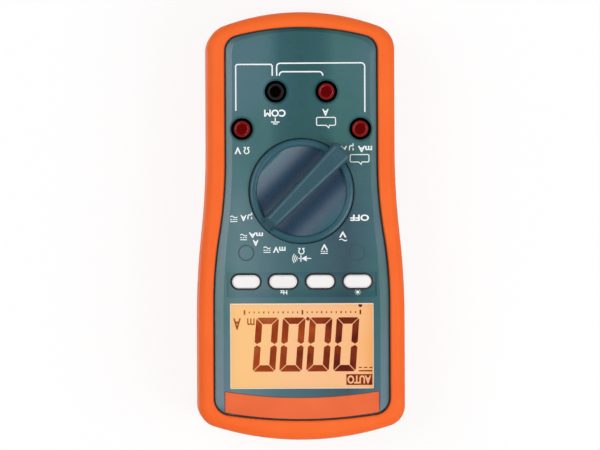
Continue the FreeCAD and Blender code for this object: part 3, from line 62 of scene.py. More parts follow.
camera_data = bpy.data.cameras.new("camera")
camera_data.sensor_width = 36.0
camera_data.lens = 36.0 * CAMERA_AWAY / VIEW_WIDTH
camera_data.clip_end = 10.0
camera = bpy.data.objects.new("camera", camera_data)
camera.location = look_at + CAMERA_AWAY * Vector((np.sin(lean), 0.0, np.cos(lean)))
camera.rotation_mode = "QUATERNION"
back = (camera.location - look_at).normalized()
upright = Vector((0, 0, 1)).rotation_difference(back)
camera.rotation_quaternion = upright @ Quaternion((0, 0, 1), np.pi + roll)
bpy.context.scene.collection.objects.link(camera)
bpy.context.scene.camera = camera
bpy.context.scene.view_settings.view_transform = "Standard"
print("lens:", round(camera_data.lens, 1), "mm")

# %% [markdown]
# ## Node materials
# Every finish below is a small net of nodes. Three helpers keep those nets short: one makes an
# empty material, one adds a node and links it, and one turns a screen colour into light.

# %% Three helpers for node materials
def new_material(name):
    """A node material that holds no nodes yet."""
    material = bpy.data.materials.new(name)
    material.use_nodes = True
    material.node_tree.nodes.clear()
    return material


def add(material, kind, links=None, **settings):
    """One node: settings are its own, links fill its sockets with a value or another's output."""
    node = material.node_tree.nodes.new(kind)
    for key, value in settings.items():
        setattr(node, key, value)
    for socket, value in (links or {}).items():
        if isinstance(value, bpy.types.NodeSocket):
            material.node_tree.links.new(value, node.inputs[socket])
        else:
            node.inputs[socket].default_value = value
    return node


def paint(red, green, blue):
    """A colour given as it looks on a screen, 0 to 255, turned into the light that it stands for."""
    share = np.array([red, green, blue]) / 255.0
    light = np.where(share <= 0.04045, share / 12.92, ((share + 0.055) / 1.055) ** 2.4)
    return (*light.tolist(), 1.0)


print("the holster's orange as light:", [round(v, 3) for v in paint(240, 98, 26)])

# %% [markdown]
# ## White paper under the meter
# A product picture is taken on white paper. In a studio it curves up behind the object; from
# straight above only its flat part shows, so a plane is enough. The paper looks plain white to
# the camera, to gloss and through clear parts, and stays an ordinary matt white for all other
# light, so that it doesn't light the object more than it would.

# %% Lay the paper
PAPER_REACH = 6.0
PAPER_LEVEL = -0.1 * MM          # just under the holster's back, so that no two faces coincide
PAPER_GLOW = 0.85                # how far the paper counts as a light of its own, where it is seen

floor_paper = new_material("floor_paper")
rays = add(floor_paper, "ShaderNodeLightPath")
seen = add(floor_paper, "ShaderNodeMath", {0: rays.outputs["Is Camera Ray"],
                                           1: rays.outputs["Is Glossy Ray"]}, operation="MAXIMUM")
seen = add(floor_paper, "ShaderNodeMath", {0: seen.outputs[0],
                                           1: rays.outputs["Is Transmission Ray"]},
           operation="MAXIMUM")
glow = add(floor_paper, "ShaderNodeMath", {0: seen.outputs[0], 1: PAPER_GLOW},
           operation="MULTIPLY")
fibre = add(floor_paper, "ShaderNodeTexNoise",
            {"Vector": add(floor_paper, "ShaderNodeTexCoord").outputs["Object"],
             "Scale": 900.0, "Detail": 3.0})
tone = add(floor_paper, "ShaderNodeMix", {0: fibre.outputs["Fac"], 6: (0.93, 0.93, 0.93, 1),
                                          7: (0.96, 0.96, 0.96, 1)}, data_type="RGBA")
matt = add(floor_paper, "ShaderNodeBsdfDiffuse", {"Color": tone.outputs[2]})
white = add(floor_paper, "ShaderNodeEmission", {"Color": (1, 1, 1, 1), "Strength": 1.0})
mixed = add(floor_paper, "ShaderNodeMixShader", {0: glow.outputs[0], 1: matt.outputs[0],
                                                 2: white.outputs[0]})
add(floor_paper, "ShaderNodeOutputMaterial", {"Surface": mixed.outputs[0]})

floor_mesh = bpy.data.meshes.new("floor")
corners = [(-1, -1), (1, -1), (1, 1), (-1, 1)]
floor_mesh.from_pydata([(x * PAPER_REACH, y * PAPER_REACH, PAPER_LEVEL) for x, y in corners], [],
                       [(0, 1, 2, 3)])
floor_mesh.materials.append(floor_paper)
floor = bpy.data.objects.new("floor", floor_mesh)
bpy.context.scene.collection.objects.link(floor)
print("paper:", 2 * PAPER_REACH, "m wide")

# %% [markdown]
# ## Dome and lamps
# A light tent is brighter at its sides than overhead, so the flanks of rounded edges catch light
# while the flat panel stays deep in colour. A dome whose strength falls with height does the same
# with no walls to build. Two wide soft panels, high on both sides, add the sheen on the plastics
# and the light in the dial's hollows.

# %% Light the dome and hang the lamps
DOME_LOW, DOME_HIGH = 0.6, 0.26       # brightness of the dome near the floor and overhead
DOME_TURN = 0.25                      # below this height the dome keeps its low brightness
world = bpy.data.worlds.new("studio")
bpy.context.scene.world = world
world.use_nodes = True
world.node_tree.nodes.clear()
dome_rays = add(world, "ShaderNodeLightPath")
sky = add(world, "ShaderNodeSeparateXYZ",
          {0: add(world, "ShaderNodeTexCoord").outputs["Generated"]})
height = add(world, "ShaderNodeMapRange", {"Value": sky.outputs["Z"],
                                           "From Min": DOME_TURN, "From Max": 1.0,
                                           "To Min": DOME_LOW, "To Max": DOME_HIGH})
dome = add(world, "ShaderNodeBackground", {"Color": (1, 1, 1, 1),
                                           "Strength": height.outputs[0]})
plain = add(world, "ShaderNodeBackground", {"Color": (1, 1, 1, 1), "Strength": 1.0})
pick = add(world, "ShaderNodeMixShader", {0: dome_rays.outputs["Is Camera Ray"],
                                          1: dome.outputs[0], 2: plain.outputs[0]})
add(world, "ShaderNodeOutputWorld", {"Surface": pick.outputs[0]})


def lamp(name, place, size, power):
    """A soft rectangular panel at place, in metres, that faces the middle of the object."""
    data = bpy.data.lights.new(name, "AREA")
    data.shape = "RECTANGLE"
    data.size, data.size_y = size
    data.energy = power
    lamp_object = bpy.data.objects.new(name, data)
    lamp_object.location = place
    lamp_object.rotation_mode = "QUATERNION"
    lamp_object.rotation_quaternion = (Vector(place) - look_at).to_track_quat("Z", "Y")
    bpy.context.scene.collection.objects.link(lamp_object)


lamp("lamp_high_right", (-0.60, 0.30, 1.02), (0.75, 0.75), 6.7)
lamp("lamp_high_left", (0.52, -0.12, 1.05), (0.6, 0.6), 5.1)

# %% [markdown]
# ## Moulded plastic and rubber
# A moulded case isn't one flat colour: the tool is spark-eroded, which leaves a fine grain, and
# the plastic's pigment and gloss drift slightly across it. Colour could be painted by hand, but
# noise on the object's own coordinates gives the same drift on every side without any picture.
# Rubber has a duller skin with a soft sheen, so it is the same finish with less gloss.

# %% The finish of moulded parts
def grained(name, base, drift, gloss=(0.35, 0.5), grain=1400.0, dent=0.012, spread=35.0,
            **shader):
    """Base drifts to a second tone over spread per metre, with a fine grain in gloss and relief."""
    material = new_material(name)
    place = add(material, "ShaderNodeTexCoord").outputs["Object"]
    cloud = add(material, "ShaderNodeTexNoise", {"Vector": place, "Scale": spread, "Detail": 4.0})
    fine = add(material, "ShaderNodeTexNoise", {"Vector": place, "Scale": grain, "Detail": 2.0})
    share = add(material, "ShaderNodeMapRange", {"Value": cloud.outputs["Fac"], "From Min": 0.35,
                                                 "From Max": 0.65})
    tone = add(material, "ShaderNodeMix", {0: share.outputs[0], 6: base, 7: drift},
               data_type="RGBA")
    rough = add(material, "ShaderNodeMapRange", {"Value": fine.outputs["Fac"], "From Min": 0.3,
                                                 "From Max": 0.7, "To Min": gloss[0],
                                                 "To Max": gloss[1]})
    relief = add(material, "ShaderNodeBump", {"Height": fine.outputs["Fac"], "Strength": 0.4,
                                              "Distance": dent * MM})
    surface = add(material, "ShaderNodeBsdfPrincipled",
                  {"Base Color": tone.outputs[2], "Roughness": rough.outputs[0],
                   "Normal": relief.outputs[0]})
    for socket, value in shader.items():
        surface.inputs[socket.replace("_", " ")].default_value = value
    add(material, "ShaderNodeOutputMaterial", {"Surface": surface.outputs[0]})
    return material


# %% [markdown]
# ## Plated and rolled metal
# Screws, springs and contacts are drawn or rolled, which leaves fine lines along one direction.
# Lines could be cut as real grooves, but they are thinner than a hair. Noise that is stretched
# along one axis gives them in tone, gloss and relief together.

# %% The finish of metal parts
def brushed(name, base, drift, gloss=(0.2, 0.4), along=(1, 1, 0.05), **shader):
    """Plated metal: noise stretched along one direction gives its fine brushed lines."""
    material = new_material(name)
    place = add(material, "ShaderNodeTexCoord").outputs["Object"]
    drawn = add(material, "ShaderNodeMapping", {"Vector": place, "Scale": along})
    lines = add(material, "ShaderNodeTexNoise", {"Vector": drawn.outputs[0], "Scale": 2500.0,
                                                 "Detail": 2.0})
    tone = add(material, "ShaderNodeMix", {0: lines.outputs["Fac"], 6: base, 7: drift},
               data_type="RGBA")
    rough = add(material, "ShaderNodeMapRange", {"Value": lines.outputs["Fac"],
                                                 "To Min": gloss[0], "To Max": gloss[1]})
    relief = add(material, "ShaderNodeBump", {"Height": lines.outputs["Fac"], "Strength": 0.2,
                                              "Distance": 0.005 * MM})
    surface = add(material, "ShaderNodeBsdfPrincipled",
                  {"Base Color": tone.outputs[2], "Roughness": rough.outputs[0],
                   "Normal": relief.outputs[0], "Metallic": 1.0})
    for socket, value in shader.items():
        surface.inputs[socket.replace("_", " ")].default_value = value
    add(material, "ShaderNodeOutputMaterial", {"Surface": surface.outputs[0]})
    return material


# %% [markdown]
# ## Tones that run over a piece
# A tone can also be painted to run with place: here it gives painted shade in hollows, a painted
# highlight on the dial's rim, and painted light and shade across the panel. A mask could be painted
# on each part, but it would have to be laid out again when a size changes. A ramp over one of the
# object's own axes needs only a few distances and tones.

# %% Tones by place, and how a part gets its finish
def tone_run(material, distance, steps):
    """A tone that runs with a distance in metres; steps are (millimetres, red, green, blue)."""
    lowest, highest = steps[0][0], steps[-1][0]
    share = add(material, "ShaderNodeMapRange", {"Value": distance, "From Min": lowest * MM,
                                                 "From Max": highest * MM})
    tones = add(material, "ShaderNodeValToRGB", {"Fac": share.outputs[0]})
    ends = tones.color_ramp.elements
    ends[0].color, ends[1].color = (*steps[0][1:], 1), (*steps[-1][1:], 1)
    for level, *colour in steps[1:-1]:
        ends.new((level - lowest) / (highest - lowest)).color = (*colour, 1)
    return tones.outputs[0]


def shade(material, tone):
    """Multiplies a finish's own colour by a tone."""
    surface = next(node for node in material.node_tree.nodes if node.type == "BSDF_PRINCIPLED")
    own = surface.inputs["Base Color"].links[0].from_socket
    both = add(material, "ShaderNodeMix", {0: 1.0, 6: own, 7: tone}, data_type="RGBA",
               blend_type="MULTIPLY")
    material.node_tree.links.new(both.outputs[2], surface.inputs["Base Color"])


def axes(material):
    """The object's own X, Y and Z at each point, as three sockets."""
    place = add(material, "ShaderNodeTexCoord").outputs["Object"]
    return add(material, "ShaderNodeSeparateXYZ", {"Vector": place}).outputs


def wear(material, *names):
    """Gives model parts a material, in place of the plain one that they came with."""
    for name in names:
        nodes[name].data.materials.clear()
        nodes[name].data.materials.append(material)
    print(material.name, "on", len(names), "parts")


# %% [markdown]
# ## Case, holster and dial
# The holster is orange rubber, and the case and dial are slate-blue plastic. On the dial, painted
# shade makes its two hollows darkest beside its grip, and a painted highlight makes its rim and
# edges paler. Painted light and shade make the panel greenest in the middle of its socket end, and
# run from dark to pale blue-grey across its display end. Each could be a separate colour on a
# separate face, but the eye would see the seams, so they run.

# %% The holster's, the plate's and the case's finishes
slate = grained("slate_case_plastic", paint(32, 86, 91), paint(62, 94, 110),
                gloss=(0.3, 0.42), spread=22.0)
orange = grained("orange_rubber", paint(240, 98, 26), paint(243, 104, 32),
                 gloss=(0.5, 0.62), grain=900.0, dent=0.02, Specular_IOR_Level=0.25)
plate = grained("orange_plate_film", paint(222, 90, 32), paint(234, 102, 42),
                gloss=(0.3, 0.38), grain=2500.0, dent=0.004)
wear(slate, "rear_case", "battery_door", "tilt_stand")
wear(orange, "holster")
wear(plate, "name_plate")

# %% The dial's finish: painted shade in its hollows, a painted highlight on its rim
knob_slate = grained("dial_plastic_painted_light", paint(34, 84, 98), paint(50, 96, 110), gloss=(0.26, 0.34),
                     grain=1800.0, dent=0.006, Specular_IOR_Level=0.46)
# Painted light and shade along the dial's height: darkest low in the hollows beside the grip, where
# shade falls, and palest at the rim's height, a painted highlight.
shade(knob_slate, tone_run(knob_slate, axes(knob_slate)["Z"], [
    (40.4, 0.12, 0.38, 0.64), (41.1, 0.42, 0.57, 0.78), (42.0, 0.95, 0.95, 0.98),
    (42.6, 1.0, 1.0, 1.0), (43.2, 0.82, 0.82, 0.82), (45.0, 0.72, 0.72, 0.72)]))
wear(knob_slate, "selector_knob")

# %% The panel's finish: one run of painted light and shade for each half, mixed along its length
JACK_HALF_ENDS, DISPLAY_HALF_STARTS = -30 * MM, -5 * MM
panel_slate = grained("slate_panel_plastic_painted_light", paint(60, 119, 125), paint(98, 130, 151),
                      gloss=(0.3, 0.42), spread=22.0)
across, along = axes(panel_slate)["X"], axes(panel_slate)["Y"]
aside = add(panel_slate, "ShaderNodeMath", {0: across}, operation="ABSOLUTE").outputs[0]
# Both runs are painted light and shade: a painted sheen and shade across the display half, and a
# darker, greener middle at the socket half.
display_half_painted_light = tone_run(panel_slate, across, [
    (-30, 0.45, 0.6, 0.6), (-17, 0.17, 0.29, 0.31), (-5, 0.27, 0.43, 0.42), (5, 0.38, 0.54, 0.5),
    (10, 0.5, 0.6, 0.55), (17, 0.72, 0.72, 0.64), (24, 0.85, 0.82, 0.7), (30, 0.7, 0.7, 0.65)])
jack_half_painted_light = tone_run(panel_slate, aside, [
    (0, 0.02, 0.34, 0.3), (8, 0.08, 0.39, 0.36), (13, 0.4, 0.61, 0.52), (30, 0.45, 0.62, 0.57)])
halfway = add(panel_slate, "ShaderNodeMapRange", {"Value": along, "From Min": JACK_HALF_ENDS,
                                                  "From Max": DISPLAY_HALF_STARTS})
shade(panel_slate, add(panel_slate, "ShaderNodeMix", {
    0: halfway.outputs[0], 6: jack_half_painted_light, 7: display_half_painted_light}, data_type="RGBA").outputs[2])
wear(panel_slate, "front_case")

# %% [markdown]
# ## Keys, sockets and the parts inside
# Each has its own plastic: off-white for the keys, bright red and black for the socket posts, so
# that a lead isn't plugged into the wrong one. The inside parts show when the meter is opened.
# One shared grey would be quicker, but an open meter is read by its colours: green laminate,
# black chip, white fuse tubes, blue lacquer and bright metal.

# %% Plastics of keys and sockets
key_white = grained("key_white", paint(234, 231, 231), paint(240, 238, 238), gloss=(0.3, 0.42),
                    grain=2200.0, dent=0.004)
socket_red = grained("socket_red", paint(126, 3, 8), paint(144, 8, 12), gloss=(0.14, 0.22),
                     grain=2600.0, dent=0.004)
socket_black = grained("socket_black", paint(7, 7, 9), paint(12, 12, 15), gloss=(0.35, 0.5),
                       grain=2000.0, dent=0.005, Specular_IOR_Level=0.3)
wear(key_white, "key_select", "key_range", "key_hold", "key_relative")
wear(socket_red, "jack_sleeve_volt", "jack_sleeve_amp", "jack_sleeve_milliamp")
wear(socket_black, "jack_sleeve_common", "jack_shroud_common", "jack_shroud_amp",
     "jack_shroud_volt", "jack_shroud_milliamp")

# %% Plastics, rubber and ceramic inside
black = grained("black_plastic", paint(18, 19, 21), paint(27, 28, 31), gloss=(0.3, 0.45),
                grain=2000.0, dent=0.005)
membrane = grained("key_membrane_rubber", paint(24, 25, 27), paint(34, 35, 38),
                   gloss=(0.55, 0.7), grain=1600.0)
nylon = grained("natural_nylon", paint(226, 222, 208), paint(236, 233, 222), gloss=(0.35, 0.5))
laminate = grained("board_laminate", paint(30, 92, 52), paint(44, 112, 62), gloss=(0.25, 0.4),
                   grain=3500.0, spread=400.0)
epoxy = grained("chip_epoxy", paint(22, 22, 24), paint(34, 34, 36), gloss=(0.45, 0.6),
                grain=3000.0)
ceramic = grained("fuse_ceramic", paint(228, 226, 218), paint(238, 236, 230), gloss=(0.3, 0.45))
parts_blue = grained("component_lacquer", paint(36, 78, 140), paint(52, 96, 158),
                     gloss=(0.25, 0.4), spread=250.0)
jacket = grained("battery_jacket", paint(60, 66, 76), paint(84, 90, 100), gloss=(0.2, 0.3),
                 grain=2000.0, dent=0.003)
wear(black, "lcd_bezel", "buzzer")
wear(membrane, "keypad_membrane", "zebra_strips")
wear(nylon, "selector_rotor", "detent_ring", "backlight_panel")
wear(laminate, "main_board")
wear(epoxy, "meter_chip")
wear(ceramic, "fuse_bodies")
wear(parts_blue, "board_components")
wear(jacket, "battery_1", "battery_2")

# %% Metals: the red sockets' contacts get a painted red glow
steel = brushed("zinc_plated_steel", paint(176, 178, 182), paint(200, 202, 205))
nickel = brushed("nickel_plate", paint(190, 184, 170), paint(212, 207, 196), gloss=(0.12, 0.25))
brass = brushed("brass_strip", paint(196, 158, 88), paint(214, 178, 108), gloss=(0.18, 0.32))
# The common contact's dark tone is partly tarnish and partly painted shade, for the shade deep in
# its bore.
bronze = brushed("bronze_tarnish_and_painted_shade", paint(58, 34, 26), paint(84, 50, 36), gloss=(0.45, 0.6))
# Painted light: these contacts glow red, an emission that stands in for red light bounced off the
# red plastic round them.
bronze_painted_red_glow = brushed("contact_painted_red_glow", paint(84, 34, 26), paint(110, 44, 32),
                     gloss=(0.45, 0.6), Emission_Color=(0.3, 0.006, 0.006, 1),
                     Emission_Strength=0.32)
copper = brushed("shunt_alloy", paint(176, 110, 80), paint(200, 132, 98), gloss=(0.2, 0.35))

wear(steel, "battery_door_screw", "case_screws", "board_screws", "selector_screw",
     "detent_rollers", "detent_springs", "battery_springs")
wear(nickel, "fuse_caps", "battery_contacts")
wear(brass, "fuse_clips", "wiper_contacts")
wear(bronze, "jack_contact_common")
wear(bronze_painted_red_glow, "jack_contact_amp", "jack_contact_volt", "jack_contact_milliamp")
wear(copper, "shunt_wire")

# %% [markdown]
# ## The lit display
# A liquid crystal glass over a backlight glows amber, a little deeper towards the side away
# from its lamp, and the digits are where the crystal blocks the light. A flat picture would be
# one way. Thin solid marks on the glass are used here, because they stay sharp at any distance.

# %% The amber glass
def amber_glass():
    """The lit glass: its tone runs from pale to deeper amber along X, and noise clouds it."""
    material = new_material("amber_display")
    place = add(material, "ShaderNodeTexCoord").outputs["Object"]
    parts = add(material, "ShaderNodeSeparateXYZ", {"Vector": place})
    low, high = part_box("lcd_glass")
    along = add(material, "ShaderNodeMapRange", {"Value": parts.outputs["X"], "From Min": low.x,
                                                 "From Max": high.x})
    cloud = add(material, "ShaderNodeTexNoise", {"Vector": place, "Scale": 60.0, "Detail": 1.0})
    run = add(material, "ShaderNodeMath", {0: cloud.outputs["Fac"], 1: 0.35, 2: along.outputs[0]},
              operation="MULTIPLY_ADD")
    tones = add(material, "ShaderNodeValToRGB", {"Fac": run.outputs[0]})
    ramp = tones.color_ramp
    ramp.elements[0].position, ramp.elements[0].color = 0.18, paint(251, 170, 84)
    ramp.elements[1].position, ramp.elements[1].color = 1.0, paint(253, 198, 128)
    ramp.elements.new(0.38).color = paint(252, 188, 130)
    ramp.elements.new(0.7).color = paint(252, 194, 140)
    surface = add(material, "ShaderNodeBsdfPrincipled",
                  {"Base Color": paint(90, 66, 44), "Emission Color": tones.outputs[0],
                   "Emission Strength": 0.94, "Roughness": 0.35})
    add(material, "ShaderNodeOutputMaterial", {"Surface": surface.outputs[0]})
    return material


wear(amber_glass(), "lcd_glass")

# %% [markdown]
# ## The clear window
# A thin acrylic window covers the glass. Real refraction through it would need many more light
# samples and show nothing more, so it is nearly transparent, with only a faint gloss left.

# %% The window's lens
def clear_lens():
    """Clear plastic that lets most light straight through, with a faint haze in its gloss."""
    material = new_material("clear_lens")
    place = add(material, "ShaderNodeTexCoord").outputs["Object"]
    haze = add(material, "ShaderNodeTexNoise", {"Vector": place, "Scale": 300.0, "Detail": 3.0})
    rough = add(material, "ShaderNodeMapRange", {"Value": haze.outputs["Fac"], "To Min": 0.04,
                                                 "To Max": 0.12})
    surface = add(material, "ShaderNodeBsdfPrincipled",
                  {"Base Color": (0.05, 0.05, 0.05, 1), "Roughness": rough.outputs[0],
                   "Alpha": 0.04, "Specular IOR Level": 0.3})
    add(material, "ShaderNodeOutputMaterial", {"Surface": surface.outputs[0]})
    return material


wear(clear_lens(), "display_window")

# %% [markdown]
# ## Marks as thin solids
# Ink on a panel is a few hundredths of a millimetre thick. It could be a flat decal, but a decal
# flickers against the face it lies on. Here every mark is a prism: an outline with a top, a
# bottom and a rim. Lines are a strip carried along a path, and letters are the built-in font's
# outlines, thickened and fitted to the size of the real word.

# %% Prisms, strips and letters
class Marks:
    """Collects closed thin solids and makes them one mesh that lies at a given height."""

    def __init__(self, name, height, thick):
        self.name, self.height, self.thick = name, height, thick
        self.points, self.faces, self.count = [], [], 0

    def add(self, points, faces):
        """Points are X, Y in millimetres and a level, 0 for the bottom or 1 for the top."""
        self.points.append(points)
        self.faces += [tuple(int(i) + self.count for i in face) for face in faces]
        self.count += len(points)

    def prism(self, outline):
        """A flat solid with this outline, a list of X, Y corners that runs anticlockwise."""
        flat = np.asarray(outline, float)
        size = len(flat)
        ring = np.arange(size)
        after = (ring + 1) % size
        points = np.vstack([np.c_[flat, np.zeros(size)], np.c_[flat, np.ones(size)]])
        walls = np.c_[ring, after, after + size, ring + size]
        self.add(points, [ring[::-1], ring + size, *walls])

    def strip(self, path, width, closed=False):
        """A line of this width along a path: each point moves half a width to both sides, along
        the mean of its two neighbours' normals, stretched so that the width holds in corners."""
        path = np.asarray(path, float)
        apart = np.linalg.norm(path - np.roll(path, 1, 0), axis=1) > 1e-6
        apart[0] = apart[0] or not closed
        path = path[apart]
        if closed:
            step_in, step_out = path - np.roll(path, 1, 0), np.roll(path, -1, 0) - path
        else:
            steps = np.diff(path, axis=0)
            step_in, step_out = np.vstack([steps[:1], steps]), np.vstack([steps, steps[-1:]])
        step_in /= np.linalg.norm(step_in, axis=1)[:, None]
        step_out /= np.linalg.norm(step_out, axis=1)[:, None]
        mean = step_in + step_out
        mean /= np.linalg.norm(mean, axis=1)[:, None]
        stretch = 1.0 / np.maximum((mean * step_in).sum(1), 0.4)
        side = np.c_[-mean[:, 1], mean[:, 0]] * (stretch * width / 2)[:, None]
        count = len(path)
        left, right = path + side, path - side
        flat = np.vstack([right, left])
        points = np.vstack([np.c_[flat, np.zeros(2 * count)], np.c_[flat, np.ones(2 * count)]])
        i = np.arange(count if closed else count - 1)
        j = (i + 1) % count
        up = 2 * count
        faces = [np.c_[i + up, j + up, j + count + up, i + count + up],
                 np.c_[j, i, i + count, j + count],
                 np.c_[i, j, j + up, i + up],
                 np.c_[j + count, i + count, i + count + up, j + count + up]]
        faces = np.vstack(faces).tolist()
        if not closed:
            last = count - 1
            faces += [[0, up, count + up, count],
                      [last, last + count, last + count + up, last + up]]
        self.add(points, faces)

    def word(self, text, x0, x1, y0, y1, bold=0.03):
        """Letters fitted into the box from x0, y0 to x1, y1."""
        curve = bpy.data.curves.new("letters", "FONT")
        curve.body, curve.offset, curve.extrude, curve.resolution_u = text, bold, 0.1, 6
        letters = bpy.data.objects.new("letters", curve)
        bpy.context.scene.collection.objects.link(letters)
        shown = letters.evaluated_get(bpy.context.evaluated_depsgraph_get())
        mesh = bpy.data.meshes.new_from_object(shown)
        bpy.data.objects.remove(letters)
        bpy.data.curves.remove(curve)
        points = np.zeros(len(mesh.vertices) * 3)
        mesh.vertices.foreach_get("co", points)
        points = points.reshape(-1, 3)
        low, high = points[:, :2].min(0), points[:, :2].max(0)
        points[:, :2] = (points[:, :2] - low) / (high - low) * [x1 - x0, y1 - y0] + [x0, y0]
        points[:, 2] = points[:, 2] > 0
        self.add(points, [tuple(face.vertices) for face in mesh.polygons])
        bpy.data.meshes.remove(mesh)

    def make(self, body, material):
        """Sets the levels to real heights, merges doubled corners and builds the object."""
        points = np.vstack(self.points)
        points[:, 2] = self.height(points[:, 0], points[:, 1]) + points[:, 2] * self.thick
        mesh = bpy.data.meshes.new(self.name)
        mesh.from_pydata((points * MM).tolist(), [], self.faces)
        edit = bmesh.new()
        edit.from_mesh(mesh)
        bmesh.ops.remove_doubles(edit, verts=edit.verts, dist=1e-7)
        edit.to_mesh(mesh)
        edit.free()
        mesh.materials.append(material)
        piece = bpy.data.objects.new(self.name, mesh)
        bpy.context.scene.collection.objects.link(piece)
        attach(piece, body)
        print(self.name, len(mesh.polygons), "faces")


# %% Three small helpers for marks: a level to lie on, points on an arc, and a dot
def flat_at(level):
    """The height function of marks that all lie at one level."""
    return lambda x, y: np.full(len(x), level)


def bend(x, y, radius, start, stop, count=9):
    """Points on an arc about x, y, from start to stop in degrees."""
    angle = np.radians(np.linspace(start, stop, count))
    return np.c_[x + radius * np.cos(angle), y + radius * np.sin(angle)].tolist()


def dot(marks, x, y, radius):
    """A round dot with twelve corners."""
    marks.prism(bend(x, y, radius, 0, 330, 12))


print("an arc of one radius, its first point:", bend(0, 0, 1.0, 0, 90)[0])

# %% [markdown]
# ## The figures on the glass
# The display's own electrodes give each nought six strokes with mitred ends, a hair apart and
# all leaning the same way. One stroke of each kind is drawn, and mirrored to give the rest, so
# that all four figures stay alike. A font's figures would have no gaps between the strokes.

# %% Four noughts
GLASS_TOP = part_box("lcd_glass")[1].z / MM
LIFT = 0.01                       # how far printed marks start above the face they lie on
glass_marks = Marks("display_digits", flat_at(GLASS_TOP + LIFT), 0.03)
DIGIT_LOW, DIGIT_HIGH = 34.66, 55.14
DIGIT_WIDE, STROKE, GAP = 8.6, 2.45, 0.22
SLANT = np.tan(np.radians(4.2))


def lean_over(outline, left):
    """Moves an upright digit's corners to their place, and further right the higher they are."""
    flat = np.asarray(outline, float)
    return np.c_[left + flat[:, 0] + flat[:, 1] * SLANT, DIGIT_LOW + flat[:, 1]]


def zero(left):
    """The six strokes of a nought: two flat ones with mitred ends and four upright ones."""
    w, h, t, g, m, c = DIGIT_WIDE, DIGIT_HIGH - DIGIT_LOW, STROKE, GAP, 0.2, 0.7
    half = h / 2
    flat_stroke = np.array([(g + c, h), (g + c * 0.3, h - c * 0.4), (g + t, h - t),
                            (w - g - t, h - t), (w - g - c * 0.3, h - c * 0.4), (w - g - c, h)])
    upright = np.array([(w - t * 0.4, half + m), (w, half + m + t * 0.3), (w, h - g - c),
                        (w - c * 0.4, h - g - c * 0.3), (w - t, h - t - g),
                        (w - t, half + m + t * 0.35)])
    for shape in (flat_stroke, upright):
        right_low = shape * [1, -1] + [0, h]
        mirrored = shape * [-1, 1] + [w, 0]
        for outline in ((shape, right_low) if shape is flat_stroke else
                        (shape, right_low, mirrored, mirrored * [1, -1] + [0, h])):
            closed = np.vstack([outline, outline[:1]])
            turn = (closed[:-1, 0] * closed[1:, 1] - closed[1:, 0] * closed[:-1, 1]).sum()
            glass_marks.prism(lean_over(outline if turn > 0 else outline[::-1], left))


for centre in (13.6, 3.5, -6.7, -16.9):
    zero(centre - DIGIT_WIDE / 2 - (DIGIT_HIGH - DIGIT_LOW) * SLANT / 2)
print("strokes on the glass:", len(glass_marks.points))

# %% [markdown]
# ## Bar scale, unit and label on the glass
# Under the figures runs a scale of short bars with a longer one at both ends and in the middle.
# The unit stands right of the figures, the direct-current sign left of them, and the range label
# above that sign. All are prisms of the same set, since the crystal shows them in the same brown.

# %% The small signs
def block(x, y, wide, tall):
    """An upright rectangle of the display, about its middle."""
    glass_marks.prism([(x - wide / 2, y - tall / 2), (x + wide / 2, y - tall / 2),
                       (x + wide / 2, y + tall / 2), (x - wide / 2, y + tall / 2)])


SCALE_FROM, SCALE_TO, SCALE_Y, SCALE_BARS = -22.3, 21.6, 32.7, 25
LABEL_LEFT, LABEL_RIGHT, LABEL_LOW, LABEL_HIGH = -26.8, -16.9, 56.2, 60.3
dot(glass_marks, -2.4, 35.2, 0.72)
dot(glass_marks, SCALE_FROM, 30.1, 0.75)
for number, x in enumerate(np.linspace(SCALE_FROM, SCALE_TO, SCALE_BARS)):
    long, middling = number % 12 == 0, number % 4 == 0
    block(x, SCALE_Y, *((0.62, 1.7) if long else (0.5, 0.8) if middling else (0.4, 0.7)))
glass_marks.word("m", 17.8, 20.6, 34.9, 37.5, 0.01)
glass_marks.word("A", 23.0, 25.9, 34.9, 39.2, 0.03)
glass_marks.strip([(LABEL_LEFT, 54.95), (LABEL_LEFT + 5.2, 54.95)], 0.5)
for x in (-26.8, -24.8, -22.8):
    glass_marks.strip([(x, 53.7), (x + 1.15, 53.7)], 0.42)
glass_marks.prism([(LABEL_LEFT, LABEL_LOW), (LABEL_RIGHT, LABEL_LOW), (LABEL_RIGHT, LABEL_HIGH),
                   (LABEL_LEFT, LABEL_HIGH)])
print("bars in the scale:", SCALE_BARS)

# %% [markdown]
# ## The crystal's brown
# A switched-on segment blocks most of the amber light, and less of it where the lamp behind is
# near. So the brown glows a little too, and gets darker away from the lamp. A plain dark paint
# would look like ink on top of the glass instead.

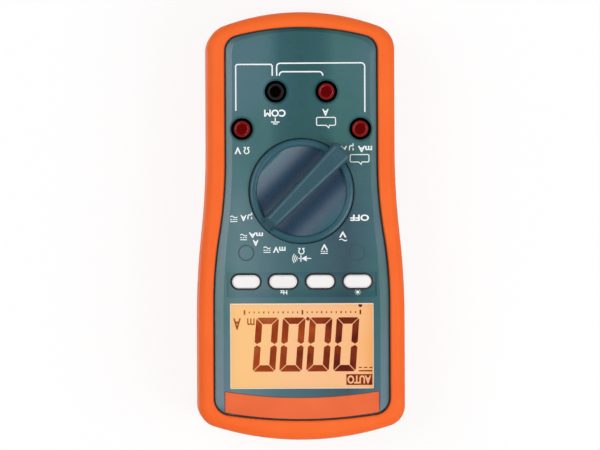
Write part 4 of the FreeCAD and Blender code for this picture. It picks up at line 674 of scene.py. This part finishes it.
# %% Brown for the figures
def crystal_brown():
    """Blocked light: darker towards -X, and clouded, as the glass is unevenly lit behind it."""
    material = new_material("crystal_brown")
    place = add(material, "ShaderNodeTexCoord").outputs["Object"]
    parts = add(material, "ShaderNodeSeparateXYZ", {"Vector": place})
    along = add(material, "ShaderNodeMapRange", {"Value": parts.outputs["X"],
                                                 "From Min": -20 * MM, "From Max": 18 * MM,
                                                 "To Min": 0.1, "To Max": 0.75})
    cloud = add(material, "ShaderNodeTexNoise", {"Vector": place, "Scale": 110.0, "Detail": 2.0})
    run = add(material, "ShaderNodeMath", {0: cloud.outputs["Fac"], 1: 1.6, 2: along.outputs[0]},
              operation="MULTIPLY_ADD")
    level = add(material, "ShaderNodeMath", {0: run.outputs[0], 1: 0.8}, operation="SUBTRACT")
    tones = add(material, "ShaderNodeValToRGB", {"Fac": level.outputs[0]})
    ramp = tones.color_ramp
    ramp.elements[0].position, ramp.elements[0].color = 0.0, paint(98, 22, 12)
    ramp.elements[1].position, ramp.elements[1].color = 1.0, paint(186, 104, 62)
    ramp.elements.new(0.35).color = paint(146, 54, 22)
    ramp.elements.new(0.7).color = paint(176, 72, 22)
    surface = add(material, "ShaderNodeBsdfPrincipled",
                  {"Base Color": paint(30, 12, 6), "Emission Color": tones.outputs[0],
                   "Emission Strength": 0.9, "Roughness": 0.5, "Specular IOR Level": 0.0})
    add(material, "ShaderNodeOutputMaterial", {"Surface": surface.outputs[0]})
    return material


glass_marks.make("meter", crystal_brown())

# %% The label's letters, left bright in its brown field
auto_letters = Marks("display_auto_letters", flat_at(GLASS_TOP + 0.05), 0.02)
auto_letters.word("AUTO", -26.3, -17.3, 56.7, 59.8, 0.035)
letters_amber = grained("letters_amber", paint(120, 84, 60), paint(132, 94, 66),
                        gloss=(0.4, 0.5), dent=0.0, Specular_IOR_Level=0.0,
                        Emission_Color=paint(255, 192, 140), Emission_Strength=0.85)
auto_letters.make("meter", letters_amber)

# %% [markdown]
# ## Printing on the panel
# The words and brackets are white ink, screen printed on the case. Some of it lies in the
# shallow trough under the keys. Ink laid flat would float over the trough, so its height follows
# the trough's round section.

# %% Printed words and brackets
PANEL = panel_level / MM
TROUGH_Y, TROUGH_RADIUS, TROUGH_DEEP = 22.2, 12.02, 1.0
TROUGH_HALF, TROUGH_HALF_LENGTH = 4.8, 28.3


def panel_height(x, y):
    """The panel's level, less the trough: a circle's arc below it, where the trough runs."""
    across = np.clip(np.abs(y - TROUGH_Y), 0, TROUGH_RADIUS)
    arc_level = PANEL - TROUGH_DEEP + TROUGH_RADIUS - np.sqrt(TROUGH_RADIUS ** 2 - across ** 2)
    inside = (across < TROUGH_HALF) & (np.abs(x) < TROUGH_HALF_LENGTH)
    return np.where(inside, np.minimum(arc_level, PANEL), PANEL) + LIFT


ink = Marks("panel_print", panel_height, 0.03)
LINE = 0.5
ink.strip([(24.7, -43.6), *bend(23.9, -60.3, 0.8, 0, -90), *bend(11.7, -60.3, 0.8, -90, -180),
           (10.9, -56.8)], LINE)
ink.strip([(9.2, -56.8), *bend(7.9, -60.2, 1.3, 0, -90), *bend(-22.7, -60.2, 1.4, -90, -180),
           (-24.1, -43.0)], LINE)
ink.strip([(8.2, -56.8), *bend(6.9, -57.0, 1.3, 0, -90), *bend(-6.9, -57.0, 1.3, -90, -180),
           (-8.2, -56.8)], LINE)
ink.word("COM", 5.9, 14.0, -44.0, -41.3)
ink.word("A", -10.4, -8.0, -44.2, -41.6)
ink.word("V", 22.7, 25.3, -29.9, -27.2)
ink.word("mA", -26.8, -21.4, -30.2, -27.8)
ink.word("A", -17.3, -14.9, -30.2, -27.8)
ink.word("OFF", -25.5, -18.4, -4.2, -1.8)
ink.word("V", -17.0, -14.2, 2.1, 4.4)
ink.word("V", -9.9, -7.3, 6.9, 9.1)
ink.word("mV", 6.1, 10.9, 7.8, 10.1)
ink.word("mA", 14.6, 20.0, 2.4, 4.4)
ink.word("A", 16.3, 18.5, 5.2, 7.5)
ink.word("A", 20.8, 23.1, -4.2, -1.9)
ink.word("Hz", 5.5, 8.2, 24.3, 25.9)
print("printed corners so far:", ink.count)

# %% [markdown]
# ## Signs for the ranges
# Ohm, micro, alternating and direct are drawn signs, not letters of the built-in font. Each is a
# short function of its place and size, since most of them are printed more than once.

# %% Functions for the range signs
def omega(x, y, wide, tall, line=0.42):
    """The ohm sign: most of a circle that opens downwards, on two feet."""
    r = (wide - line) / 2
    ring = bend(x, y + tall - r - line / 2, r, -58, 238, 21)
    ink.strip([(x + wide / 2, y + line / 2), (ring[0][0], y + line / 2), *ring,
               (ring[-1][0], y + line / 2), (x - wide / 2, y + line / 2)], line)


def micro(x, y, tall, line=0.42):
    """The micro sign: a small u whose left leg runs on below the line."""
    ink.strip([(x, y - 0.9), (x, y + tall)], line)
    ink.strip([(x, y + tall * 0.45), *bend(x + 0.7, y + 0.6, 0.7, 180, 330, 7),
               (x + 1.45, y + tall)], line)


def wave(x, y, wide, line=0.34):
    """One swing of a sine, the sign of alternating voltage."""
    t = np.linspace(0, 1, 13)
    ink.strip(np.c_[x + t * wide, y + 0.33 * np.sin(2 * np.pi * t)], line)


def direct(x, y, wide, line=0.32):
    """A line over three dashes, the sign of direct voltage."""
    ink.strip([(x, y + 0.8), (x + wide, y + 0.8)], line)
    for k in range(3):
        start = x + k * wide * 0.375
        ink.strip([(start, y), (start + wide * 0.25, y)], line)


def either(x, y, wide, line=0.32):
    """Both: a line over three dashes, and a wave below them."""
    direct(x, y + 0.95, wide, line)
    wave(x, y, wide, line)


print("range signs:", [sign.__name__ for sign in (omega, micro, wave, direct, either)])

# %% Range signs round the dial and by the sockets
omega(20.7, -29.9, 2.2, 2.7)
micro(-19.6, -30.2, 1.7)
omega(0.1, 8.3, 2.4, 2.5)
wave(-17.2, 5.35, 2.9)
direct(-9.9, 9.6, 2.7)
either(11.8, 8.2, 2.6)
either(20.7, 3.4, 2.5)
either(24.3, -3.5, 2.7)
micro(18.9, -4.2, 1.6)
# the earth sign next to the common socket's label: a stem and two lines
ink.strip([(9.8, -40.9), (9.8, -39.3)], 0.4)
ink.strip([(8.2, -39.3), (11.4, -39.3)], 0.42)
ink.strip([(8.9, -38.6), (10.7, -38.6)], 0.36)
print("printed corners so far:", ink.count)


# %% Socket labels, diode, beeper and lamp signs
def tag(x0, x1, y0, y1, tip_x):
    """An empty rounded label with a pointer at its display side."""
    r = 0.5
    ink.strip([*bend(x1 - r, y0 + r, r, -90, 0, 5), *bend(x1 - r, y1 - r, r, 0, 90, 5),
               (tip_x + 0.9, y1), (tip_x, y1 + 0.9), (tip_x - 0.3, y1),
               *bend(x0 + r, y1 - r, r, 90, 180, 5), *bend(x0 + r, y0 + r, r, 180, 270, 5)],
              0.36, closed=True)


tag(-13.0, -5.8, -41.0, -38.0, -10.4)
tag(-25.6, -18.5, -26.9, -24.1, -22.6)
# a diode and the beeper's three arcs of sound
ink.prism([(-1.9, 11.2), (0.1, 12.3), (-1.9, 13.4)])
ink.strip([(0.3, 11.1), (0.3, 13.5)], 0.36)
ink.strip([(-3.6, 12.3), (-1.7, 12.3)], 0.34)
ink.strip([(0.4, 12.3), (1.2, 12.3)], 0.34)
for k in range(3):
    ink.strip(bend(0.9, 12.3, 1.0 + 0.75 * k, -42, 42, 7), 0.34)
# the sign for the display's lamp: a dot with eight rays
SUN = np.array([-21.2, 25.1])
dot(ink, *SUN, 0.55)
for k in range(8):
    angle = np.pi * k / 4
    ray = np.array([np.cos(angle), np.sin(angle)])
    ink.strip(SUN + np.outer([0.75, 1.15], ray), 0.22)

white_ink = grained("white_ink", paint(232, 238, 238), paint(243, 246, 246), gloss=(0.4, 0.5),
                    dent=0.0)
ink.make("meter", white_ink)

# %% [markdown]
# ## The dark line inside the lip
# A fine gap stays between the rubber lip and the case, and hardly any light gets into it. A gap
# cut into the model would need its own tool pass on two parts. A thin dark tube, laid along the
# lip's inner edge on the case's bevel, gives the same line.

# %% The lip's inner edge
def side_line(wide, narrow, low, high, y):
    """Half the width at y: two circles' arcs, tangent to both straight parts, make the swing."""
    swing = ((wide - narrow) ** 2 + (high - low) ** 2) / (4 * (wide - narrow))
    up = np.clip(y - low, 0, (high - low) / 2)
    down = np.clip(high - y, 0, (high - low) / 2)
    return np.where(y < (low + high) / 2, narrow + swing - np.sqrt(swing ** 2 - up ** 2),
                    wide - swing + np.sqrt(swing ** 2 - down ** 2))


def end_arcs(half, end, bow, corner, count=13):
    """One bowed end from its right corner to its left one: the corner's centre lies where its
    circle touches the side from inside and the bow from inside."""
    rise = np.sqrt((bow - corner) ** 2 - (half - corner) ** 2)
    turn = np.degrees(np.arctan2(rise, half - corner))
    centre = end - bow
    return np.array(bend(half - corner, centre + rise, corner, 0, turn, count)
                    + bend(0, centre, bow, turn, 180 - turn, 41)[1:-1]
                    + bend(corner - half, centre + rise, corner, 180 - turn, 180, count))


holster_low, holster_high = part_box("holster")
LIP_SIDE, LIP_WAIST, LIP_TOP, LIP_FOOT = 5.5, 9.95, 7.2, 5.7       # in from the holster's box
TOP_BOW, TOP_CORNER, FOOT_BOW, FOOT_CORNER = 185.0, 6.5, 98.0, 6.0
LIP = {"wide": holster_high.x / MM - LIP_SIDE, "narrow": holster_high.x / MM - LIP_WAIST,
       "low": -24.0, "high": 29.5}
top = end_arcs(LIP["wide"], holster_high.y / MM - LIP_TOP, TOP_BOW, TOP_CORNER)
foot = end_arcs(LIP["narrow"], -holster_low.y / MM - LIP_FOOT, FOOT_BOW, FOOT_CORNER) * [-1, -1]
y = np.linspace(top[-1, 1], foot[0, 1], 90)[1:-1]
left = np.c_[-side_line(**LIP, y=y), y]
lip_edge = np.vstack([top, left, foot, left[::-1] * [-1, 1]])
print("corners along the lip:", len(lip_edge))

# %% The bevel under it, and a tube along a path
RISE, SIDE_RUN, TOP_RUN, FOOT_RUN = 1.4, 5.9, 2.9, 3.9             # the bevel, up and across
CASE_SWING, CASE_SWING_LOW, CASE_SWING_HIGH = 3.57, -29.0, 35.0
CASE_TOP_BOW, CASE_FOOT_BOW = 105.5, 81.0


def bevel_height(x, y):
    """The case's level: its bevel rises from the rim, over a wider run at the sides than at the
    ends. A bowed end falls away by x squared over twice its radius."""
    case_low, case_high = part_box("front_case")
    side = case_high.x / MM
    width = side_line(side, side - CASE_SWING, CASE_SWING_LOW, CASE_SWING_HIGH, y) - np.abs(x)
    inward = np.where(y > 0, (case_high.y / MM - y) / TOP_RUN, (y - case_low.y / MM) / FOOT_RUN)
    fall = np.where(y > 0, x ** 2 / (2 * CASE_TOP_BOW) / TOP_RUN,
                    x ** 2 / (2 * CASE_FOOT_BOW) / FOOT_RUN)
    return PANEL - RISE + RISE * np.clip(np.minimum(width / SIDE_RUN, inward - fall), 0.0, 1.0)


def carried(path, profile):
    """A profile of (inward, upward) offsets carried round a closed path, as one closed tube."""
    along = np.roll(path, -1, 0) - np.roll(path, 1, 0)
    along /= np.linalg.norm(along, axis=1)[:, None]
    inward = np.c_[-along[:, 1], along[:, 0]]
    flat = path[:, None, :] + inward[:, None, :] * profile[None, :, :1]
    level = bevel_height(path[:, 0], path[:, 1])[:, None] + profile[None, :, 1]
    points = np.concatenate([flat, level[..., None]], axis=2).reshape(-1, 3)
    rows, columns = len(path), len(profile)
    i, j = np.meshgrid(np.arange(rows), np.arange(columns), indexing="ij")
    i2, j2 = (i + 1) % rows, (j + 1) % columns
    faces = np.stack([i * columns + j, i2 * columns + j, i2 * columns + j2, i * columns + j2], 2)
    return points, faces.reshape(-1, 4)[:, ::-1]


def solid(name, points, faces, material, body, slot):
    """Puts points in millimetres and faces into a mesh that rides on a body."""
    mesh = bpy.data.meshes.new(name)
    mesh.from_pydata((np.asarray(points) * MM).tolist(), [], np.asarray(faces).tolist())
    mesh.materials.append(material)
    piece = bpy.data.objects.new(name, mesh)
    bpy.context.scene.collection.objects.link(piece)
    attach(piece, body)
    print(name, len(faces), "faces")


# %% The dark tube
gap_dark = grained("gap_dark", paint(14, 20, 24), paint(24, 32, 36), gloss=(0.6, 0.8), dent=0.0)
gap_profile = np.array([(-0.3, -0.5), (-0.3, 0.2), (0.58, 0.22), (0.68, 0.14), (0.7, -0.5)])
solid("lip_gap", *carried(lip_edge, gap_profile), gap_dark, "meter", "black_plastic")

# %% [markdown]
# ## Rings round the keys and the sink marks
# The keypad's black rubber shows as a collar round each key, widened with painted shade for the
# gap round it. Below the keys, the panel has two sink marks where bosses stand behind it, and
# their edges catch less light. Both could be cut into the case's own mesh, but a thin ring laid
# on the panel keeps the case as it was made.

# %% Collars round the keys
KEY_ROUND, KEY_HALF, COLLAR_OUT, COLLAR_WIDE = 2.45, 5.2, 0.42, 0.72
# Each ring is the black rubber collar together with painted shade for the gap round the key.
collars_and_gap_shade = Marks("key_collars", panel_height, 0.04)
for key in ("key_select", "key_range", "key_hold", "key_relative"):
    low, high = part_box(key)
    middle = (low + high) / 2 / MM
    r, half = KEY_ROUND + COLLAR_OUT, KEY_HALF - KEY_ROUND
    collars_and_gap_shade.strip(bend(middle.x + half, middle.y, r, -90, 90, 15)
                  + bend(middle.x - half, middle.y, r, 90, 270, 15), COLLAR_WIDE, closed=True)
collars_and_gap_shade.make("meter", membrane)
KEY_ROW = middle.y

# %% Shades round the two sink marks
SINK_X, SINK_TO_KEY, SINK_RADIUS = 21.0, 10.9, 2.8
sink_shades = Marks("sink_mark_shades", flat_at(PANEL + LIFT), 0.02)
for side in (-1, 1):
    sink_shades.strip(bend(side * SINK_X, KEY_ROW - SINK_TO_KEY, SINK_RADIUS, 0, 350, 36), 0.36,
                      closed=True)
slate_shade = grained("slate_shade", paint(36, 66, 78), paint(46, 76, 88), gloss=(0.4, 0.5),
                      dent=0.0)
sink_shades.make("meter", slate_shade)

# %% [markdown]
# ## Fine edges of the name plate and the window
# A thin brown line runs round the name plate's edge. The window's edge is paler, a painted
# highlight where the edge catches light. Each line is one closed strip along the piece's outline.

# %% The plate's edge
PLATE_TOP_BOW, PLATE_FOOT_BOW = 160.0, 176.0
plate_low, plate_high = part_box("name_plate")
half, far = plate_high.x / MM, plate_high.y / MM


def bow(x, radius):
    """How far a circle of this radius falls away from its top at x."""
    return radius - np.sqrt(radius ** 2 - x ** 2)


near = plate_low.y / MM + bow(half, PLATE_FOOT_BOW)
x = np.linspace(half, -half, 41)
outline = np.vstack([np.c_[x, far - bow(x, PLATE_TOP_BOW)],
                     np.c_[-x, near - bow(x, PLATE_FOOT_BOW)]])
plate_line = Marks("plate_edge", flat_at(PANEL + LIFT), 0.03)
plate_line.strip(outline, 0.26, closed=True)
edge_brown = grained("plate_edge_brown", paint(92, 50, 38), paint(112, 62, 46), gloss=(0.6, 0.7),
                     dent=0.0)
plate_line.make("meter", edge_brown)

# %% The window's edge
WINDOW_HALF, WINDOW_LOW, WINDOW_HIGH = 27.0, 29.5, 61.4
EDGE_SINK = 0.02                  # the line starts this far inside the window
window = Marks("window_edge", flat_at(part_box("display_window")[1].z / MM - EDGE_SINK), 0.05)
window.strip([(WINDOW_HALF, WINDOW_LOW), (WINDOW_HALF, WINDOW_HIGH), (-WINDOW_HALF, WINDOW_HIGH),
              (-WINDOW_HALF, WINDOW_LOW)], 0.34, closed=True)
# The pale colour is a painted highlight along the window's edge.
window_edge_painted_highlight = grained("window_edge_painted_highlight", paint(250, 226, 202), paint(252, 234, 214), gloss=(0.2, 0.3),
                    dent=0.0)
window.make("meter", window_edge_painted_highlight)

# %% [markdown]
# ## Liners in the sockets
# A thin plastic tube with a rounded mouth lines each socket down to its contact, black for the
# common one and red for the others. It is made the way a lathe would: one closed profile is
# carried round the socket's axis.

# %% A turned solid
def turned(profile, x, y, count=40):
    """A closed profile of (radius, height) turned round an upright axis through x, y."""
    angle = np.linspace(0, 2 * np.pi, count, endpoint=False)
    radius, level = np.asarray(profile).T
    points = np.stack([x + np.outer(np.cos(angle), radius), y + np.outer(np.sin(angle), radius),
                       np.broadcast_to(level, (count, len(level)))], axis=2).reshape(-1, 3)
    i, j = np.meshgrid(np.arange(count), np.arange(len(level)), indexing="ij")
    i2, j2 = (i + 1) % count, (j + 1) % len(level)
    size = len(level)
    faces = np.stack([i * size + j, i2 * size + j, i2 * size + j2, i * size + j2], axis=2)
    return points, faces.reshape(-1, 4)[:, ::-1]


print("a turned solid's faces:", len(turned([(1, 0), (2, 0), (1, 1)], 0, 0)[1]))

# %% Four liners
LINER_RADIUS, HALF_WALL, MOUTH_DROP, MOUTH_ROUND, LINER_LIFT = 2.37, 0.25, 0.6, 0.3, 0.1
mouth = np.radians(np.linspace(0, 180, 9))
for which in ("common", "amp", "volt", "milliamp"):
    low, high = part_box("jack_sleeve_" + which)
    contact_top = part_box("jack_contact_" + which)[1].z / MM
    middle = (low + high) / 2 / MM
    rounded = np.c_[LINER_RADIUS + HALF_WALL * np.cos(mouth),
                    high.z / MM - MOUTH_DROP + MOUTH_ROUND * np.sin(mouth)]
    liner = np.vstack([[(LINER_RADIUS - HALF_WALL, contact_top + LINER_LIFT),
                        (LINER_RADIUS + HALF_WALL, contact_top + LINER_LIFT)], rounded])
    solid("socket_liner_" + which, *turned(liner, middle.x, middle.y),
          socket_black if which == "common" else socket_red, "meter",
          "black_plastic" if which == "common" else "jack_red")
